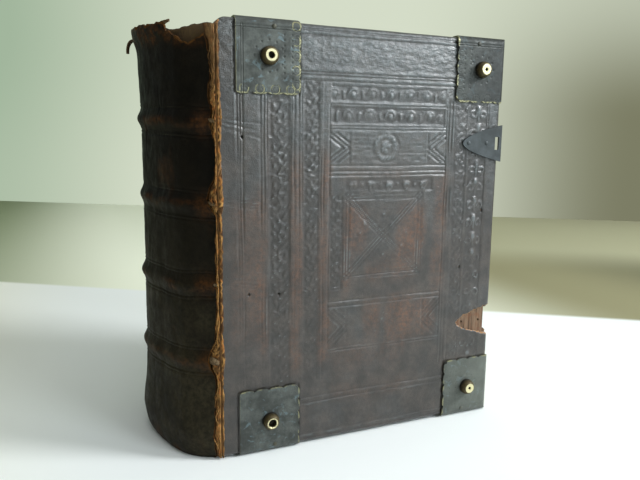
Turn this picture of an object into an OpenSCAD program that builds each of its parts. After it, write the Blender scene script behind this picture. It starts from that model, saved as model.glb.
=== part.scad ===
// Antique book: pages sewn on four raised cords, wooden boards in blind-tooled
// leather, brass corner plates with worn bosses, one catch plate left of two.
// It stands on its foot: +Z is up, +X points to the fore-edge, the front cover
// faces -Y. The origin is at the middle of the footprint, on the surface below.

/* [Boards] */
// Width of a wooden board, from the spine edge to the fore-edge
board_w = 185; // [150:1:230]
// Height of a wooden board, from tail to head
board_h = 245; // [200:1:300]
// Thickness of a wooden board
board_t = 8; // [5:0.5:12]
// Radius worked on the outer edges of a board
board_round = 2; // [0.5:0.25:3]
// Radius worn on the front board's corner at head and joint
corner_wear = 6; // [1:0.5:9]
// Gap between a board and the spine at the joint
joint_gap = 0.3; // [0.2:0.05:0.8]

/* [Pages] */
// Thickness of the sewn pages
pages_t = 93; // [50:1:130]
// How far the boards reach past the pages at head, tail and fore-edge
square_w = 3; // [2:0.5:6]
// Depth of the hollow in the fore-edge of the pages
fore_hollow = 7; // [2:0.5:12]
// Gap between the pages and the paper inside a cover
pages_gap = 0.3; // [0.2:0.05:0.8]

/* [Leather] */
// Thickness of the covering leather
leather_t = 1.3; // [0.9:0.1:1.6]
// Thickness of the pared leather turned in over the edges
turn_in_t = 1; // [0.6:0.1:1.4]
// Width of the leather turned in over the edges
turn_in_w = 16; // [10:1:24]
// Thickness of the paper pasted inside a cover
paste_t = 0.4; // [0.2:0.1:0.6]
// Leather left bare around the pasted paper
paste_margin = 5; // [4:0.5:8]

/* [Spine] */
// How far the round of the spine stands out from the joint
spine_bulge = 33.4; // [20:0.2:45]
// Depth of the spine leather below a cover's face at the joint
spine_drop = 3; // [2.5:0.25:6]
// Number of raised bands
band_count = 4; // [3:1:6]
// Height of a raised band
band_h = 2; // [1.6:0.1:2.4]
// Width of a raised band
band_w = 9; // [7:0.5:12]
// Radius of a sewing cord
cord_r = 1.4; // [1:0.1:1.6]
// Distance from the head of the pages to the nearest band
head_panel = 50.5; // [35:0.5:60]
// Distance from the tail of the pages to the nearest band
tail_panel = 53.5; // [35:0.5:60]
// Width that the leather swells by at the tail and the head
flare_w = 1.4; // [0:0.1:1.6]
// Thickness of the parchment glued between the bands
lining_t = 0.4; // [0.2:0.1:0.8]
// Radius of the core of an endband
endband_r = 1.5; // [1:0.1:1.8]
// Depth of the tear at the head of the spine
tear_depth = 14.1; // [8:0.1:20]
// Width of the torn strip along the front joint
tear_strip = 3.2; // [2:0.2:5]
// Length of a cord's end that is laced into a board
lacing_len = 14; // [8:1:20]

/* [Corner plates] */
// Width of a corner plate
plate_w = 37; // [30:1:45]
// Height of a corner plate
plate_h = 40.5; // [32:0.5:48]
// Thickness of the brass
plate_t = 1.2; // [0.8:0.1:1.6]
// Depth of the part of a plate bent over the cover's edge
plate_wrap = 9; // [5:0.5:9.5]
// Distance of the spine-side plates from the board's spine edge
plate_inset = 10.4; // [8:0.2:16]
// Number of lobes cut along the lower edge of a plate
lobes_across = 4; // [3:1:6]
// Number of lobes cut along the inner edge of a plate
lobes_up = 5; // [3:1:7]
// Depth of the cusps between the lobes
lobe_depth = 1.5; // [0.8:0.1:2.2]

/* [Bosses and pins] */
// Radius of a boss at its base
boss_r = 5.1; // [4:0.1:6.5]
// Radius of a boss at its worn top
boss_top_r = 3.2; // [2.8:0.1:3.8]
// Height of a boss above its plate
boss_h = 4.6; // [3:0.1:6]
// Depth of the hollow in a boss
boss_bore_d = 3.2; // [1.5:0.1:3.5]
// Radius of the hollow in a sound boss
boss_bore_r = 1; // [0.8:0.1:1.4]
// Radius of the shank that holds a boss through the board
shank_r = 1.4; // [1:0.1:1.8]
// Radius of a pin's shaft
pin_r = 0.7; // [0.5:0.1:1]
// Length of a pin below the brass
pin_len = 6; // [4:0.5:7]
// Clearance round every shank and pin
pin_clear = 0.1; // [0.05:0.05:0.2]

/* [Catches] */
// Length of the catch plate, tip to fore-edge
catch_len = 30; // [24:1:36]
// Half the height of the catch plate at the fore-edge
catch_half = 11.7; // [10:0.1:14]
// Distance of a catch from the nearer end of the board
catch_from_end = 63.2; // [56:0.2:80]
// How far the catch plate stands past the leather
catch_lip = 0.9; // [0.5:0.1:1.2]
// Width of the slot for the clasp
slot_w = 3; // [2:0.2:4]
// Height of the slot for the clasp
slot_h = 8.2; // [6:0.2:10]
// Width of the bar outside the slot
slot_bar = 2.2; // [1.5:0.1:2.6]
// Depth of the recess in the board's fore-edge behind a catch
recess_d = 3.2; // [2:0.1:4]
// Length of the bare place where the lower catch was
lost_len = 26.4; // [20:0.2:30]
// Half the height of that bare place at the fore-edge
lost_half = 10.3; // [9:0.1:12]

/* [Tooling] */
// Width of a line pressed into the leather
line_w = 0.8; // [0.5:0.1:1]
// Depth of a line pressed into the leather
line_d = 0.35; // [0.2:0.05:0.5]
// Outer radius of the wreath in a panel
wreath_r = 8; // [6:0.2:8.4]
// Outer radius of a ring stamp
ring_r = 3.3; // [2.4:0.1:3.8]
// Radius of a dot in a three-leaved stamp
leaf_r = 1.1; // [0.8:0.1:1.3]
// Radius of a bead in the narrow rolls
bead_r = 1.3; // [0.8:0.1:1.6]

/* [Hidden] */
$fn = 72;
eps = 0.01;
seat = 0.1;

// Levels measured inwards from a cover's leather face
board_v = leather_t;
inner_v = board_v + board_t;
turn_v = inner_v + turn_in_t;
paste_v = turn_v + paste_t;
half_t = pages_t / 2 + pages_gap + paste_v;

// Levels and places along X and Z
board_z = plate_t + leather_t;
head_z = board_z + board_h;
cover_u = board_w + leather_t;
joint_x = (spine_bulge + band_h - joint_gap - cover_u - plate_t) / 2;
board_x = joint_x + joint_gap;
pages_z = board_z + square_w;
pages_h = board_h - 2 * square_w;
pages_x = board_x + board_w - square_w;

// Round of the spine
chord = half_t - spine_drop;
spine_r = (chord * chord + spine_bulge * spine_bulge) / (2 * spine_bulge);
spine_x = joint_x - spine_bulge + spine_r;
pages_r = spine_r - leather_t - lining_t - 2 * seat;
end_angle = asin(chord / spine_r);
sweep = end_angle + 6;
spine_z = plate_t;
spine_top = head_z + leather_t;
cord_c = pages_r + seat + cord_r;
cord_bend = 1.5 * cord_r;
band_pitch = (pages_h - head_panel - tail_panel) / (band_count - 1);
bands = [for (i = [0 : band_count - 1]) pages_z + tail_panel + i * band_pitch];
cap_h = 14;
past = 6;

// Places of the corner plates and the catches on a cover
plate_far_u = cover_u + plate_t - plate_w;
plate_low_z = 0;
plate_high_z = board_h + 2 * board_z - plate_h;
catch_u = cover_u + catch_lip - catch_len;
catch_z = head_z - catch_from_end;
lost_u = cover_u - lost_len;
lost_z = board_z + catch_from_end;
recess_half = lost_half - 1.5;
catch_pin_s = [0.145 * catch_len, 0.605 * catch_len];
pin_from_inner = 15.6;
pin_from_edge = 4.7;

// Round outline of a corner between two straight edges, as a list of points
function arc_points(cx, cy, r, a0, a1, n = 5) =
    [for (i = [0 : n]) [cx + r * cos(a0 + (a1 - a0) * i / n), cy + r * sin(a0 + (a1 - a0) * i / n)]];

// Section of a cover across its width: u along the cover, v inwards from its face
module width_section(grow, back) {
    r = board_round + grow;
    top = board_v - grow;
    u1 = board_w + grow;
    left = board_round - min(r, board_round);
    polygon(concat(
        [[left, back], [left, board_v + board_round - sqrt(r * r - board_round * board_round)]],
        [for (p = arc_points(board_round, top + r, r, 180 + acos(board_round / r), 270)) p],
        arc_points(u1 - r, top + r, r, 270, 360),
        [[u1, back]]));
}

// Section of a cover across its height: v inwards from its face, z upwards
module height_section(grow, back) {
    r = board_round + grow;
    top = board_v - grow;
    z0 = board_z - grow;
    z1 = head_z + grow;
    polygon(concat([[back, z0]],
        arc_points(top + r, z0 + r, r, 270, 180),
        arc_points(top + r, z1 - r, r, 180, 90),
        [[back, z1]]));
}

// Rounded slab of a cover, grown outwards from the wood and cut off at a level
module slab(grow, back) {
    intersection() {
        linear_extrude(board_h + 4 * board_z) width_section(grow, back);
        translate([-1, 0, 0]) rotate([90, 0, 90]) linear_extrude(cover_u + past) height_section(grow, back);
    }
}

// Puts what is drawn for the front cover on the front, or its mirror on the back
module on_cover(front) {
    mirror([0, front ? 0 : 1, 0]) translate([board_x, -half_t, 0]) children();
}

// Round bar along v, from the level v0 to v1
module bar_v(u, z, r, v0, v1) {
    translate([u, v0, z]) rotate([-90, 0, 0]) cylinder(h = v1 - v0, r = r);
}

// Tongue outline: blunt tip at s = 0, widening towards the fore-edge
module tongue(length, half) {
    n = 14;
    side = [for (i = [0 : n]) [length * pow(i / n, 1.6), half * pow(i / n, 0.88)]];
    polygon(concat(side, [for (i = [n : -1 : 1]) [side[i][0], -side[i][1]]]));
}

// Stands a flat outline drawn in u and z up on the cover, between two levels
module upright(v0, v1) {
    translate([0, v1, 0]) rotate([90, 0, 0]) linear_extrude(v1 - v0) children();
}

// Centres of the four bosses: [u, z]
function boss_u(fore) = fore ? plate_far_u + plate_w / 2 : plate_inset + plate_w / 2;
function boss_z(head) = head ? plate_high_z + plate_h / 2 : plate_low_z + plate_h / 2;
function pin_u(fore) = fore ? plate_far_u + pin_from_inner : plate_inset + plate_w - pin_from_inner;
function pin_z(head) = head ? plate_high_z + plate_h - pin_from_edge : plate_low_z + pin_from_edge;

// Everything bored through a cover for the shanks and pins of its plates
module plate_holes(back) {
    for (fore = [false, true], head = [false, true]) {
        bar_v(boss_u(fore), boss_z(head), shank_r + pin_clear, -plate_t - 1, back);
        bar_v(pin_u(fore), pin_z(head), pin_r + pin_clear, -plate_t - 1, pin_len + pin_clear);
    }
}

// Channel and hole for the end of one cord, or the cord itself at the smaller radius:
// along the board, round a bend and through to the inside
module lacing(r, from, back) {
    v = board_v + cord_r + seat;
    translate([from, v, 0]) rotate([0, 90, 0]) cylinder(h = lacing_len - cord_bend - from, r = r);
    translate([lacing_len - cord_bend, v + cord_bend, 0]) rotate(-90)
        rotate_extrude(angle = 90) translate([cord_bend, 0]) circle(r = r);
    bar_v(lacing_len, 0, r, v + cord_bend, back);
}

module lacings(r, from, back) {
    for (z = bands) translate([0, 0, z]) lacing(r, from, back);
}

// Nail holes and beetle holes in the front cover: [u, z, radius]
nail_holes = [[lost_u + catch_pin_s[0], lost_z, 0.8], [lost_u + catch_pin_s[1], lost_z, 0.8]];
beetle_holes = [[13.6, 186.4, 0.5], [34.7, 96.9, 0.5]];
beetle_depth = 4;

// Cuts shared by the front board and its leather
module front_losses() {
    // Recess behind the catch plate that is left
    translate([board_w - recess_d, -eps, catch_z - slot_h / 2 - 1])
        cube([recess_d + past, paste_v + 1, slot_h + 2]);
    // Recess where the lower catch was, broken away at its lower corner
    upright(-eps, paste_v + 1) polygon([
        [board_w - recess_d, lost_z + recess_half], [board_w - recess_d, lost_z - recess_half + 3],
        [board_w + 5, lost_z - recess_half - 3], [board_w + 5, lost_z + recess_half]]);
    // Worn corner at head and joint
    upright(-eps, paste_v + 1) difference() {
        translate([-1, head_z + leather_t - corner_wear]) square([corner_wear + 1, corner_wear + 1]);
        translate([corner_wear, head_z + leather_t - corner_wear]) circle(r = corner_wear);
    }
    for (h = beetle_holes) bar_v(h[0], h[1], h[2], -1, beetle_depth);
}

// Wooden board
module board(front) {
    color("saddlebrown") on_cover(front) difference() {
        slab(0, inner_v);
        plate_holes(inner_v + 1);
        lacings(cord_r + seat, -1, inner_v + 1);
        if (front) {
            front_losses();
            for (h = nail_holes) bar_v(h[0], h[1], h[2], 0, pin_len);
            for (s = catch_pin_s) bar_v(catch_u + s, catch_z, pin_r + pin_clear, 0, pin_len + pin_clear);
        }
    }
}

// Lines pressed into the cover, drawn in u and z
module upright_line(u, z0, z1) { translate([u - line_w / 2, z0]) square([line_w, z1 - z0]); }
module level_line(z, u0, u1) { translate([u0, z - line_w / 2]) square([u1 - u0, line_w]); }
module slant_line(u0, z0, u1, z1) {
    translate([u0, z0]) rotate(atan2(z1 - z0, u1 - u0))
        translate([0, -line_w / 2]) square([norm([u1 - u0, z1 - z0]), line_w]);
}

// Three lines side by side across a field, from one corner to the other
module slant_triple(u0, z0, u1, z1, gap = 2.4) {
    intersection() {
        translate([min(u0, u1), min(z0, z1)]) square([abs(u1 - u0), abs(z1 - z0)]);
        for (k = [-1, 0, 1]) slant_line(u0, z0 + k * gap, u1, z1 + k * gap);
    }
}

// Frame of one panel with a field at each end, where two sets of slanting lines meet in a point
module end_fields(u0, u1, z0, z1, field) {
    middle = (z0 + z1) / 2;
    for (u = [[u0, u0 + field], [u1, u1 - field]], z = [z0, z1]) slant_triple(u[0], z, u[1], middle);
    upright_line(u0 + field, z0, z1);
    upright_line(u1 - field, z0, z1);
}

// Line pattern of the covers, from the joint, the head and the fore-edge
joint_lines = [10.9, 12.4, 13.9, 24.2, 25.9, 27.9];
frame_lines = [42.5, 44, 47.2, 48.7, 60.4, 61.9];
fore_lines = [39.6, 37.1, 34.6, 24.6, 9.6];
head_lines = [3.3, 6.1, 25.8, 27.3, 30.3];
tail_lines = [3.3, 6.1, 25.8, 29.3];
field_u0 = 65.7;
field_u1 = cover_u - 41.3;
level_lines = [43, 55.3, 57, 78.3, 81.6, 84.1, 160, 163.3, 189, 191];
upper_panel = [58.8, 76.8];
lower_panel = [164.8, 187.5];
middle_field = [95, 146.3];
end_field = 12.7;

// Stamps of the front cover: places from the joint or the fore-edge, from the head, and their steps
wreath_u = 102.5;
wreath_lines = [67.4, 176];
ring_rows = [[36.6, 12.4, 5], [49, 14, 4]];
leaf_columns = [[29.6, 13], [17.2, 11.6]];
bead_columns = [[35.2, 9.2, 3.2], [54.6, 10.5, 2.2]];
head_beads = [15.9, 10.5, 3.6, 4];
clear_of_catch = 17;

module tooling() {
    top = head_z + leather_t;
    low = plate_high_z;
    tail = plate_h;
    for (u = joint_lines) upright_line(u, tail, low);
    for (u = frame_lines) upright_line(u, tail, top - head_lines[4]);
    for (f = fore_lines) upright_line(cover_u - f, tail, low);
    for (h = head_lines) level_line(top - h, plate_inset + plate_w, plate_far_u);
    for (t = tail_lines) level_line(spine_z + t, plate_inset + plate_w, plate_far_u);
    for (h = level_lines) level_line(top - h, field_u0, field_u1);
    upright_line(field_u0, top - lower_panel[1] - 1, top - 43);
    upright_line(field_u1, top - lower_panel[1] - 1, top - 43);
    for (p = [upper_panel, lower_panel])
        end_fields(field_u0, field_u1, top - p[1], top - p[0], end_field);
    // Middle field: three nested frames with their corners joined
    u0 = field_u0 + 10;
    u1 = field_u1 - 16;
    z0 = top - middle_field[1];
    z1 = top - middle_field[0];
    for (k = [0, 1.6, 3.2]) difference() {
        translate([u0 + k - line_w / 2, z0 + k - line_w / 2])
            square([u1 - u0 - 2 * k + line_w, z1 - z0 - 2 * k + line_w]);
        translate([u0 + k + line_w / 2, z0 + k + line_w / 2])
            square([u1 - u0 - 2 * k - line_w, z1 - z0 - 2 * k - line_w]);
    }
    slant_triple(u0, z0, u1, z1);
    slant_triple(u0, z1, u1, z0);
}

module ring(r, width) {
    difference() {
        circle(r = r);
        circle(r = r - width);
    }
}

// Wreath: a ring of leaves round a second ring and a bud
module wreath() {
    ring(wreath_r, line_w);
    ring(0.62 * wreath_r, line_w);
    circle(r = 0.18 * wreath_r);
    for (i = [0 : 11])
        rotate(30 * i) translate([0.81 * wreath_r - line_w / 4, 0]) circle(r = 0.08 * wreath_r);
}

// Three dots as the leaves of a small stamp
module three_leaves() {
    for (a = [90, 210, 330]) rotate(a) translate([1.35 * leaf_r, 0]) circle(r = leaf_r);
}

// Stamps and beads of the rolls on the front cover
module stamps() {
    top = head_z + leather_t;
    for (h = wreath_lines) translate([wreath_u, top - h]) wreath();
    for (row = ring_rows, i = [0 : row[2]])
        translate([field_u0 + (field_u1 - field_u0 - row[1] * row[2]) / 2 + row[1] * i, top - row[0]]) {
            ring(ring_r, line_w);
            circle(r = 0.35 * ring_r);
        }
    for (column = leaf_columns, z = [plate_h + 5 : column[1] : plate_high_z - 5])
        if (min(abs(z - catch_z), abs(z - lost_z)) > clear_of_catch)
            translate([cover_u - column[0], z]) three_leaves();
    for (column = bead_columns, i = [0 : floor((plate_high_z - plate_h - 6) / column[1])])
        translate([column[0] + column[2] * (i % 2 == 0 ? 1 : -1), plate_h + 4 + column[1] * i])
            circle(r = bead_r);
    for (i = [-head_beads[3] : head_beads[3]])
        translate([wreath_u + i * head_beads[1], top - head_beads[0] + head_beads[2] * (i % 2 == 0 ? 1 : -1)])
            circle(r = 1.5 * bead_r);
}

// Leather over a board, turned in on three sides
module cover_leather(front) {
    color("#3b2a26") on_cover(front) difference() {
        slab(leather_t, turn_v);
        slab(0, inner_v);
        translate([-1, inner_v - eps, board_z + turn_in_w])
            cube([board_w - turn_in_w + 1, turn_in_t + 1, board_h - 2 * turn_in_w]);
        plate_holes(inner_v);
        lacings(cord_r + seat, -1, inner_v);
        upright(-1, line_d) tooling();
        if (front) upright(-1, line_d) stamps();
        if (front) {
            front_losses();
            upright(-1, board_v + eps) translate([lost_u, lost_z]) tongue(lost_len + 2, lost_half);
            for (s = catch_pin_s) bar_v(catch_u + s, catch_z, pin_r + pin_clear, -1, board_v + 1);
        }
    }
}

// Paper pasted inside a cover, sunk between the turned-in edges
module pastedown(front) {
    color("#d8cba6") on_cover(front) difference() {
        union() {
            translate([0.5, turn_v, board_z + paste_margin])
                cube([board_w - paste_margin - 0.5, paste_t, board_h - 2 * paste_margin]);
            translate([0.5, inner_v, board_z + turn_in_w])
                cube([board_w - turn_in_w - 0.5, turn_in_t + paste_t, board_h - 2 * turn_in_w]);
        }
        translate([-1, inner_v + paste_t, board_z + turn_in_w + paste_t])
            cube([board_w - turn_in_w - paste_t + 1, turn_in_t + paste_t, board_h - 2 * turn_in_w - 2 * paste_t]);
    }
}

// Ends of the sewing cords, laced through a board
module laced_ends(front) {
    color("#b08a55") on_cover(front) lacings(cord_r, 0, inner_v - seat);
}

// Points of an edge cut in lobes: distance along the edge and height of the lobe
lobe_steps = 6;
function lobes(count, length) = [for (i = [0 : count * lobe_steps - 1])
    let (t = (i % lobe_steps) / lobe_steps * 2 - 1)
    [length * i / lobe_steps / count, lobe_depth * sqrt(1 - t * t)]];

// Outline of a corner plate, its straight corner at the origin, its lobed edges away from it
module plate_outline() {
    side = plate_w - lobe_depth;
    foot = plate_h - lobe_depth;
    polygon(concat([[0, 0]],
        [for (p = lobes(lobes_up, foot)) [side + p[1], p[0]]],
        [for (p = lobes(lobes_across, side)) [side - p[0], foot + p[1]]],
        [[0, foot]]));
}

// Brass corner plate, bent over the edges that it meets
module corner_plate(front, head, fore) {
    u0 = fore ? cover_u + plate_t : plate_inset;
    z0 = head ? plate_high_z + plate_h : plate_low_z;
    color("#5f5b45") on_cover(front) difference() {
        intersection() {
            slab(leather_t + plate_t, plate_wrap);
            upright(-plate_t - 1, plate_wrap + 1)
                translate([u0, z0]) mirror([fore ? 1 : 0, 0]) mirror([0, head ? 1 : 0]) plate_outline();
        }
        slab(leather_t, plate_wrap + 1);
        plate_holes(1);
    }
}

// Turned brass boss with the shank that holds it through the board
module boss(front, head, fore, bore_r) {
    n = 9;
    color("#8a7a45") on_cover(front) translate([boss_u(fore), -plate_t, boss_z(head)])
        rotate([90, 0, 0]) rotate_extrude() polygon(concat(
            [[0, -plate_t - inner_v + 0.2], [shank_r, -plate_t - inner_v + 0.2], [shank_r, 0]],
            [for (i = [0 : n]) [boss_top_r + (boss_r - boss_top_r) * cos(90 * i / n),
                                boss_h * sin(90 * i / n)]],
            [[bore_r + 0.25, boss_h], [bore_r, boss_h - 0.3], [bore_r, boss_h - boss_bore_d],
             [0, boss_h - boss_bore_d]]));
}

// Pin with a low round head, driven in from the level v
module pin(u, z, v) {
    translate([u, v, z]) rotate([90, 0, 0]) rotate_extrude() polygon([
        [0, -pin_len - v], [pin_r, -pin_len - v + 0.8], [pin_r, 0], [pin_r + 0.6, 0],
        [pin_r + 0.45, 0.25], [pin_r, 0.4], [0, 0.5]]);
}

module plate_pins(front) {
    color("#6d6448") on_cover(front)
        for (fore = [false, true], head = [false, true]) pin(pin_u(fore), pin_z(head), -plate_t);
}

module catch_plate() {
    color("#5b5a50") on_cover(true) upright(-plate_t, 0) difference() {
        translate([catch_u, catch_z]) tongue(catch_len, catch_half);
        translate([catch_u + catch_len - slot_bar - slot_w, catch_z - slot_h / 2]) square([slot_w, slot_h]);
        for (s = catch_pin_s) translate([catch_u + s, catch_z]) circle(r = pin_r + pin_clear);
    }
}

module catch_pins() {
    color("#6d6448") on_cover(true) for (s = catch_pin_s) pin(catch_u + s, catch_z, -plate_t);
}

// Sewn pages with a round back and a hollow fore-edge
module pages() {
    hollow_r = (pages_t * pages_t / 4 + fore_hollow * fore_hollow) / (2 * fore_hollow);
    color("#cdbf95") translate([0, 0, pages_z]) difference() {
        union() {
            translate([joint_x, -pages_t / 2, 0]) cube([pages_x - joint_x, pages_t, pages_h]);
            intersection() {
                translate([spine_x, 0, 0]) cylinder(h = pages_h, r = pages_r, $fn = 180);
                translate([joint_x - 2 * spine_bulge, -half_t, 0])
                    cube([2 * spine_bulge, 2 * half_t, pages_h]);
            }
        }
        translate([pages_x + hollow_r - fore_hollow, 0, -1])
            cylinder(h = pages_h + 2, r = hollow_r, $fn = 180);
    }
}

// Turns a section drawn as [radius, height] along the round of the spine
module along_spine(a0 = -sweep, a1 = sweep) {
    intersection() {
        translate([spine_x, 0, 0]) rotate(180 + a0) rotate_extrude(angle = a1 - a0, $fn = 180) children();
        translate([joint_x - 2 * spine_bulge, -half_t - past, -past])
            cube([2 * spine_bulge, 2 * half_t + 2 * past, spine_top + 2 * past]);
    }
}

// Section of the spine leather: bands outside, grooves for the cords inside
function bump(z) = max([for (b = bands) abs(z - b) < band_w / 2
    ? band_h * (1 + cos(360 * (z - b) / band_w)) / 2 : 0]);
function flare(z) = flare_w * max(0, 1 - abs(z - spine_z - cap_h) / cap_h)
    + flare_w * max(0, (z - spine_top + cap_h) / cap_h);
band_steps = 5;
outer_levels = concat([spine_z, spine_z + cap_h / 2, spine_z + cap_h, spine_z + 1.5 * cap_h, spine_z + 2 * cap_h],
    [for (b = bands) for (i = [-band_steps : band_steps]) b + i * band_w / 2 / band_steps],
    [spine_top - cap_h, spine_top]);

module spine_section() {
    inner = spine_r - leather_t;
    difference() {
        polygon(concat([for (z = outer_levels) [spine_r + bump(z) + flare(z), z]],
            [[inner, spine_top], [inner, spine_z]]));
        for (b = bands) translate([cord_c, b]) circle(r = cord_r + seat, $fn = 32);
    }
}

// Stands an outline drawn as [distance along the surface, z] against the spine at an angle
module against_spine(angle, reach, depth) {
    translate([spine_x, 0, 0]) rotate(180 + angle) translate([spine_r + reach, 0, 0])
        rotate([90, 0, -90]) linear_extrude(reach + depth) children();
}

// Torn outline at the head, as [angle round the spine, share of the tear's depth]
tear_angle = 52;
head_tear = [[36, -0.43], [38.1, 0.15], [34.5, 0.31], [39.3, 0.41], [44.2, 0.69], [48.2, 0.92],
    [51, 1], [54.3, 0.94], [59.1, 0.73], [63.8, 0.52], [75, 0.5], [75, -0.43]];

// Ragged edge along the front joint: width of the tear at a share of the height
rag_steps = 62;
function ragged(i) = tear_strip * (1 + 0.35 * sin(244 * i) + 0.25 * sin(92 * i + 40));

module spine_leather() {
    color("#2c201c") difference() {
        along_spine() spine_section();
        against_spine(tear_angle, past, past) polygon([for (p = head_tear)
            [spine_r * sin(p[0] - tear_angle), spine_top - p[1] * tear_depth]]);
        against_spine(end_angle, past, -leather_t * 0.5) polygon(concat(
            [[past, -past]],
            [for (i = [0 : rag_steps]) [-ragged(i), spine_top * i / rag_steps]],
            [[past, spine_top + past]]));
    }
}

// Parchment between the bands, under the leather
module spine_linings() {
    edges = concat([pages_z - band_w / 2], bands, [pages_z + pages_h + band_w / 2]);
    color("#a3865a") for (i = [0 : len(edges) - 2])
        along_spine() translate([pages_r + seat, edges[i] + band_w / 2])
            square([lining_t, edges[i + 1] - edges[i] - band_w]);
}

module sewing_cords() {
    color("#b08a55") for (z = bands) along_spine() translate([cord_c, z]) circle(r = cord_r, $fn = 32);
}

// Core of an endband on the edge of the pages, over part of the spine
module endband(z, a0, a1) {
    color("#9a7d4e") along_spine(a0, a1)
        translate([pages_r - leather_t - endband_r, z]) circle(r = endband_r, $fn = 32);
}

module headband() { endband(pages_z + pages_h + endband_r, -50, 33); }
module tailband() { endband(pages_z - endband_r, -50, 50); }

pages();
spine_leather();
spine_linings();
sewing_cords();
headband();
tailband();
board(true);  // front_board
cover_leather(true);  // front_leather
pastedown(true);  // front_pastedown
laced_ends(true);  // front_lacings
plate_pins(true);  // front_plate_pins
catch_plate();
catch_pins();
corner_plate(true, true, false);  // front_plate_head_joint
corner_plate(true, true, true);  // front_plate_head_fore
corner_plate(true, false, false);  // front_plate_tail_joint
corner_plate(true, false, true);  // front_plate_tail_fore
boss(true, true, false, 1.7);  // front_boss_head_joint
boss(true, true, true, boss_bore_r);  // front_boss_head_fore
boss(true, false, false, 2.4);  // front_boss_tail_joint
boss(true, false, true, 0.9);  // front_boss_tail_fore
board(false);  // back_board
cover_leather(false);  // back_leather
pastedown(false);  // back_pastedown
laced_ends(false);  // back_lacings
plate_pins(false);  // back_plate_pins
corner_plate(false, true, false);  // back_plate_head_joint
corner_plate(false, true, true);  // back_plate_head_fore
corner_plate(false, false, false);  // back_plate_tail_joint
corner_plate(false, false, true);  // back_plate_tail_fore
boss(false, true, false, boss_bore_r);  // back_boss_head_joint
boss(false, true, true, boss_bore_r);  // back_boss_head_fore
boss(false, false, false, boss_bore_r);  // back_boss_tail_joint
boss(false, false, true, boss_bore_r);  // back_boss_tail_fore
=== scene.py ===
# Dressed model of an antique leather book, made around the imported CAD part.
# Lengths are millimetres and angles degrees, until make_piece() turns millimetres into metres.
import math

import bpy
import numpy as np
from mathutils import Matrix, Vector


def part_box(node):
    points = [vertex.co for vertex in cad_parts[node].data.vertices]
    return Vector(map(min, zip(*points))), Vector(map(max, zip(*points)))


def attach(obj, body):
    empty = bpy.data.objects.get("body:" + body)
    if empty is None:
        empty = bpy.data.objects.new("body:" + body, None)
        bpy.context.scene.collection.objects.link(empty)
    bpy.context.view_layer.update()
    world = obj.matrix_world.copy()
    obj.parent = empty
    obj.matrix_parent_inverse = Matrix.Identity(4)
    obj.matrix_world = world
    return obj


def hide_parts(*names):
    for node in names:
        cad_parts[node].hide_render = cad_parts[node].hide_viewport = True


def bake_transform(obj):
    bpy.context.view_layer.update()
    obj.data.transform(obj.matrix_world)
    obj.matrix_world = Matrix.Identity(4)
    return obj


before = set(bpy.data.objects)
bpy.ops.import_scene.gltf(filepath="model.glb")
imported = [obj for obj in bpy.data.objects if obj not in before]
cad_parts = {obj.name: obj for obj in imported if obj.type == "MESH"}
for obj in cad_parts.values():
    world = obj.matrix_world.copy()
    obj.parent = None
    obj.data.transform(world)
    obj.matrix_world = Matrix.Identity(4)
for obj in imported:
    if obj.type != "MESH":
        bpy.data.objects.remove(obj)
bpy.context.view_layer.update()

MM = 0.001


def corners(node):
    """Lowest and highest corner of a CAD node at rest, in millimetres."""
    low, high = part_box(node)
    return np.array(low) / MM, np.array(high) / MM


# Sizes of the covers, read from the frame
leather_low, leather_high = corners("front_leather")
wood_low, wood_high = corners("front_board")
COVER_X = wood_low[0]
COVER_W = leather_high[0] - COVER_X
HALF_T = -leather_low[1]
FOOT_Z = leather_low[2]
HEAD_Z = leather_high[2]
LEATHER = wood_low[1] - leather_low[1]
TURN_V = wood_high[1] - leather_low[1] + 1.0
BRASS = FOOT_Z - corners("front_plate_tail_fore")[0][2]
WOOD_ROUND = 2.0
CORNER_WEAR = 6.0

# Sizes of the spine, read from the frame
BAND_H = 2.0
BAND_W = 9.0
spine_low, spine_high = corners("spine_leather")
JOINT_X = spine_high[0]
BULGE = JOINT_X - spine_low[0] - BAND_H
CHORD = HALF_T - 3.0
SPINE_R = (CHORD ** 2 + BULGE ** 2) / (2 * BULGE)
SPINE_X = JOINT_X - BULGE + SPINE_R
END_ANGLE = math.degrees(math.asin(CHORD / SPINE_R))
BANDS = [59, 104, 149, 194]

# Places of the fittings on a cover: u from the joint, z from the surface below
PLATE_W, PLATE_H = 37.0, 40.5
PLATE_INSET = corners("front_plate_head_joint")[0][0] - COVER_X
CATCH_Z = (corners("catch_plate")[0][2] + corners("catch_plate")[1][2]) / 2
LOST_Z = FOOT_Z + HEAD_Z - CATCH_Z
LOST_LEN, LOST_HALF = 26.4, 10.3
RECESS_U = wood_high[0] - COVER_X - 3.2
RECESS_HALF = 5.1
boss_low, boss_high = [sum(corners(f"front_boss_{c}")) / 2 for c in ("tail_joint", "head_fore")]
BOSS_MIDDLE = ((boss_low + boss_high) / 2)[[0, 2]].tolist()
BOSS_APART = ((boss_high - boss_low) / 2)[[0, 2]].tolist()


# Helpers for shapes

def smooth(x, low, high):
    """0 below low, 1 above high and a soft step between."""
    t = np.clip((x - low) / (high - low), 0, 1)
    return t * t * (3 - 2 * t)


def bell(x, width):
    """1 at 0, falling off softly on both sides."""
    return np.exp(-(x / width) ** 2)


def window(x, low, high, soft=0.6):
    """1 between low and high, falling to 0 within soft on both sides."""
    return smooth(x, low - soft / 2, low + soft / 2) * (1 - smooth(x, high - soft / 2, high + soft / 2))


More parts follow.
